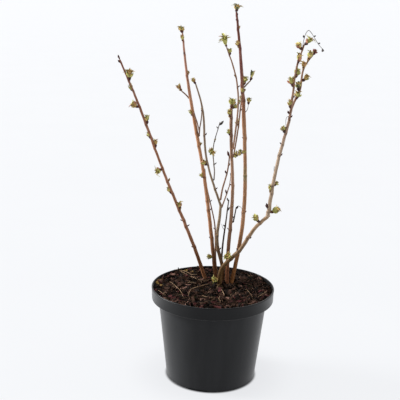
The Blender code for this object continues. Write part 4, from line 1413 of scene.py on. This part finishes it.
chipScale, chipLift, chipRoll = 0.74, 3.2, 0.3


def makePlacedChips():
    template = asPiece("template_chip", chipShape(4.1, 1.0, 1.0, 1.0))
    for kind, rows in chipPlan.items():
        places = [Vector((x, y, soilHeight(x, y) + chipLift)) * mm for x, y, *_ in rows]
        turns = [(math.radians(tip), chipRoll * math.sin(x), math.radians(turn))
                 for x, _, turn, tip, *_ in rows]
        sizes = [[chipScale * s * mm for s in row[4:]] for row in rows]
        points = meshFrom(f"placed_{kind}", places, turn=turns, size=sizes)
        values = {"Shape": template, "Finish": soilFinish(kind)}
        mesh = throughNodes(f"placed_{kind}", points, copies, values)
        keepInside(mesh)
        placed(asPiece(f"soil_placed_{kind}", mesh), "dark_soil")
    bpy.data.objects.remove(template)


bed = makeSoilBed()
makeLitter(bed)
makePlacedChips()
bed.shade_smooth()
placed(asPiece("soil_bed", bed, soilFinish("peat")), "dark_soil", "soil")
print("soil done")


# Pale roots that lie on the soil: points (x, y) and thickness, in mm.
rootPlan = [
    ([(-79, 17), (-69, -3), (-59, -28), (-53, -57)], 0.9),
    ([(-66, 90), (-58, 70), (-48, 57)], 0.9),
    ([(-41, 47), (-31, 34), (-23, 26), (-8, 27)], 0.9),
    ([(-8, 6), (-25, -5), (-34, -13), (-40, -24), (-44, -56)], 1.1),
    ([(22, 74), (19, 40), (14, 13), (7, -10)], 1.0),
    ([(16, -22), (20, -47)], 1.2),
    ([(-47, 9), (-38, 12), (-29, 8)], 0.7),
    ([(60, -10), (66, -30), (70, -48)], 0.75),
    ([(-20, -50), (-8, -58), (4, -56)], 0.8),
    ([(97, -18), (90, -32), (80, -48)], 0.9),
    ([(12, -52), (10, -64), (13, -74)], 0.8),
    ([(-98, -26), (-90, -40), (-84, -46)], 0.7),
    ([(-70, 84), (-54, 76), (-40, 60), (-30, 56)], 1.0),
]
rootShape = dict(lift=6.0, waves=1.0, waveLength=14, lumpy=0.25, radius=0.62, taper=0.45, parts=5)
# Dark bits of twig that stand up at the back wall: points (x, y, z) above the stand and thickness, in mm.
twigPlan = [
    ([(-46, 86, 164), (-57, 87, 166), (-63, 84, 170), (-66, 82, 176)], 2.4),
    ([(-60, 85, 167), (-61, 84, 172), (-60, 83, 175)], 1.8),
    ([(-62, 84, 168), (-70, 78, 171), (-76, 73, 172)], 1.6),
]
twigShape = dict(radius=0.5, taper=0.3)


def makeStrands(kind, shape, paths):
    finish, meshes = soilFinish(kind), []
    for seed, (points, thick) in enumerate(paths):
        count = len(points)
        radii = [thick * mm * shape["radius"] * (1 - shape["taper"] * k / count) for k in range(count)]
        meshes.append(skinned(f"{kind}_{seed}", points, radii, [0.0] * count, kind, seed, finish))
    return joined(f"soil_{kind}s", meshes, finish)


def rootLine(seed, path):
    r = rootShape
    flat = [point for point, _, _ in smoothLine([Vector(p) for p in path], [r["parts"]] * (len(path) - 1))]
    waves = [r["waves"] * noise.noise(Vector((p.x, p.y, seed)) / r["waveLength"]) for p in flat]
    heights = [soilHeight(p.x, p.y, r["lumpy"]) + r["lift"] + wave for p, wave in zip(flat, waves)]
    return [Vector((p.x, p.y, height)) * mm for p, height in zip(flat, heights)]


rootPaths = [(rootLine(seed, path), thick) for seed, (path, thick) in enumerate(rootPlan)]
placed(makeStrands("root", rootShape, rootPaths), "brown_bark")
twigPaths = [([Vector(p) * mm for p in path], thick) for path, thick in twigPlan]
placed(makeStrands("twig", twigShape, twigPaths), "brown_bark")
print("roots done")


# Floor, light and camera. The room is a white tent, darker on the camera's side, with a lamp to the left.
# Each of its sides has a tone, then how far round that way the tone sets in and is full.
studio = dict(
    cameraPlace=(-0.0273, -1.3895, 0.6903), tilt=14.44, roll=1.434, lens=72.74, sensor=36,
    lampWay=(-1.0, 0.22, 0.48), lampPower=5.6, lampWidth=22, floorHalf=200.0,
    front=(0.20, 0.202, 0.21), back=((0.84, 0.855, 0.88), -0.7, 0.55), left=((1.4, 1.38, 1.35), 0.4, 0.9),
    right=((2.1, 2.1, 2.12), 0.4, 0.9), above=((0.92, 0.92, 0.92), 0.3, 0.9),
)


def makeFloor():
    build = bmesh.new()
    bmesh.ops.create_grid(build, x_segments=8, y_segments=8, size=studio["floorHalf"])
    floor = asPiece("floor", meshOf("floor", build), paleFloorFinish())


def makeLamp():
    lamp = bpy.data.lights.new("left", "SUN")
    lamp.energy = studio["lampPower"]
    lamp.angle = math.radians(studio["lampWidth"])
    obj = bpy.data.objects.new("left", lamp)
    obj.rotation_euler = Vector(studio["lampWay"]).to_track_quat("Z", "Y").to_euler()
    bpy.context.scene.collection.objects.link(obj)


def makeRoom():
    world = bpy.data.worlds.new("studio")
    world.use_nodes = True
    net = Net(world.node_tree)
    across = net.split(net.node("ShaderNodeTexCoord").of("Generated"))
    ways = [(across.of("Y"), "back"), (across * -1, "left"), (across, "right"), (across.of("Z"), "above")]
    layers = [(way.between(*studio[side][1:]), studio[side][0]) for way, side in ways]
    tone = net.layered(studio["front"], layers)
    net.tree.links.new(tone.socket, world.node_tree.nodes["Background"].inputs["Color"])
    bpy.context.scene.world = world


def makeCamera():
    lens = bpy.data.cameras.new("camera")
    lens.sensor_width = studio["sensor"]
    lens.sensor_fit = "HORIZONTAL"
    lens.lens = studio["lens"]
    camera = bpy.data.objects.new("camera", lens)
    tilt = Matrix.Rotation(math.radians(90 - studio["tilt"]), 4, "X")
    roll = Matrix.Rotation(math.radians(studio["roll"]), 4, "Z")
    camera.matrix_world = Matrix.Translation(studio["cameraPlace"]) @ tilt @ roll
    bpy.context.scene.collection.objects.link(camera)
    bpy.context.scene.camera = camera


makeFloor()
makeLamp()
makeRoom()
makeCamera()
bpy.context.scene.view_settings.view_transform = "Standard"
print("studio ready")
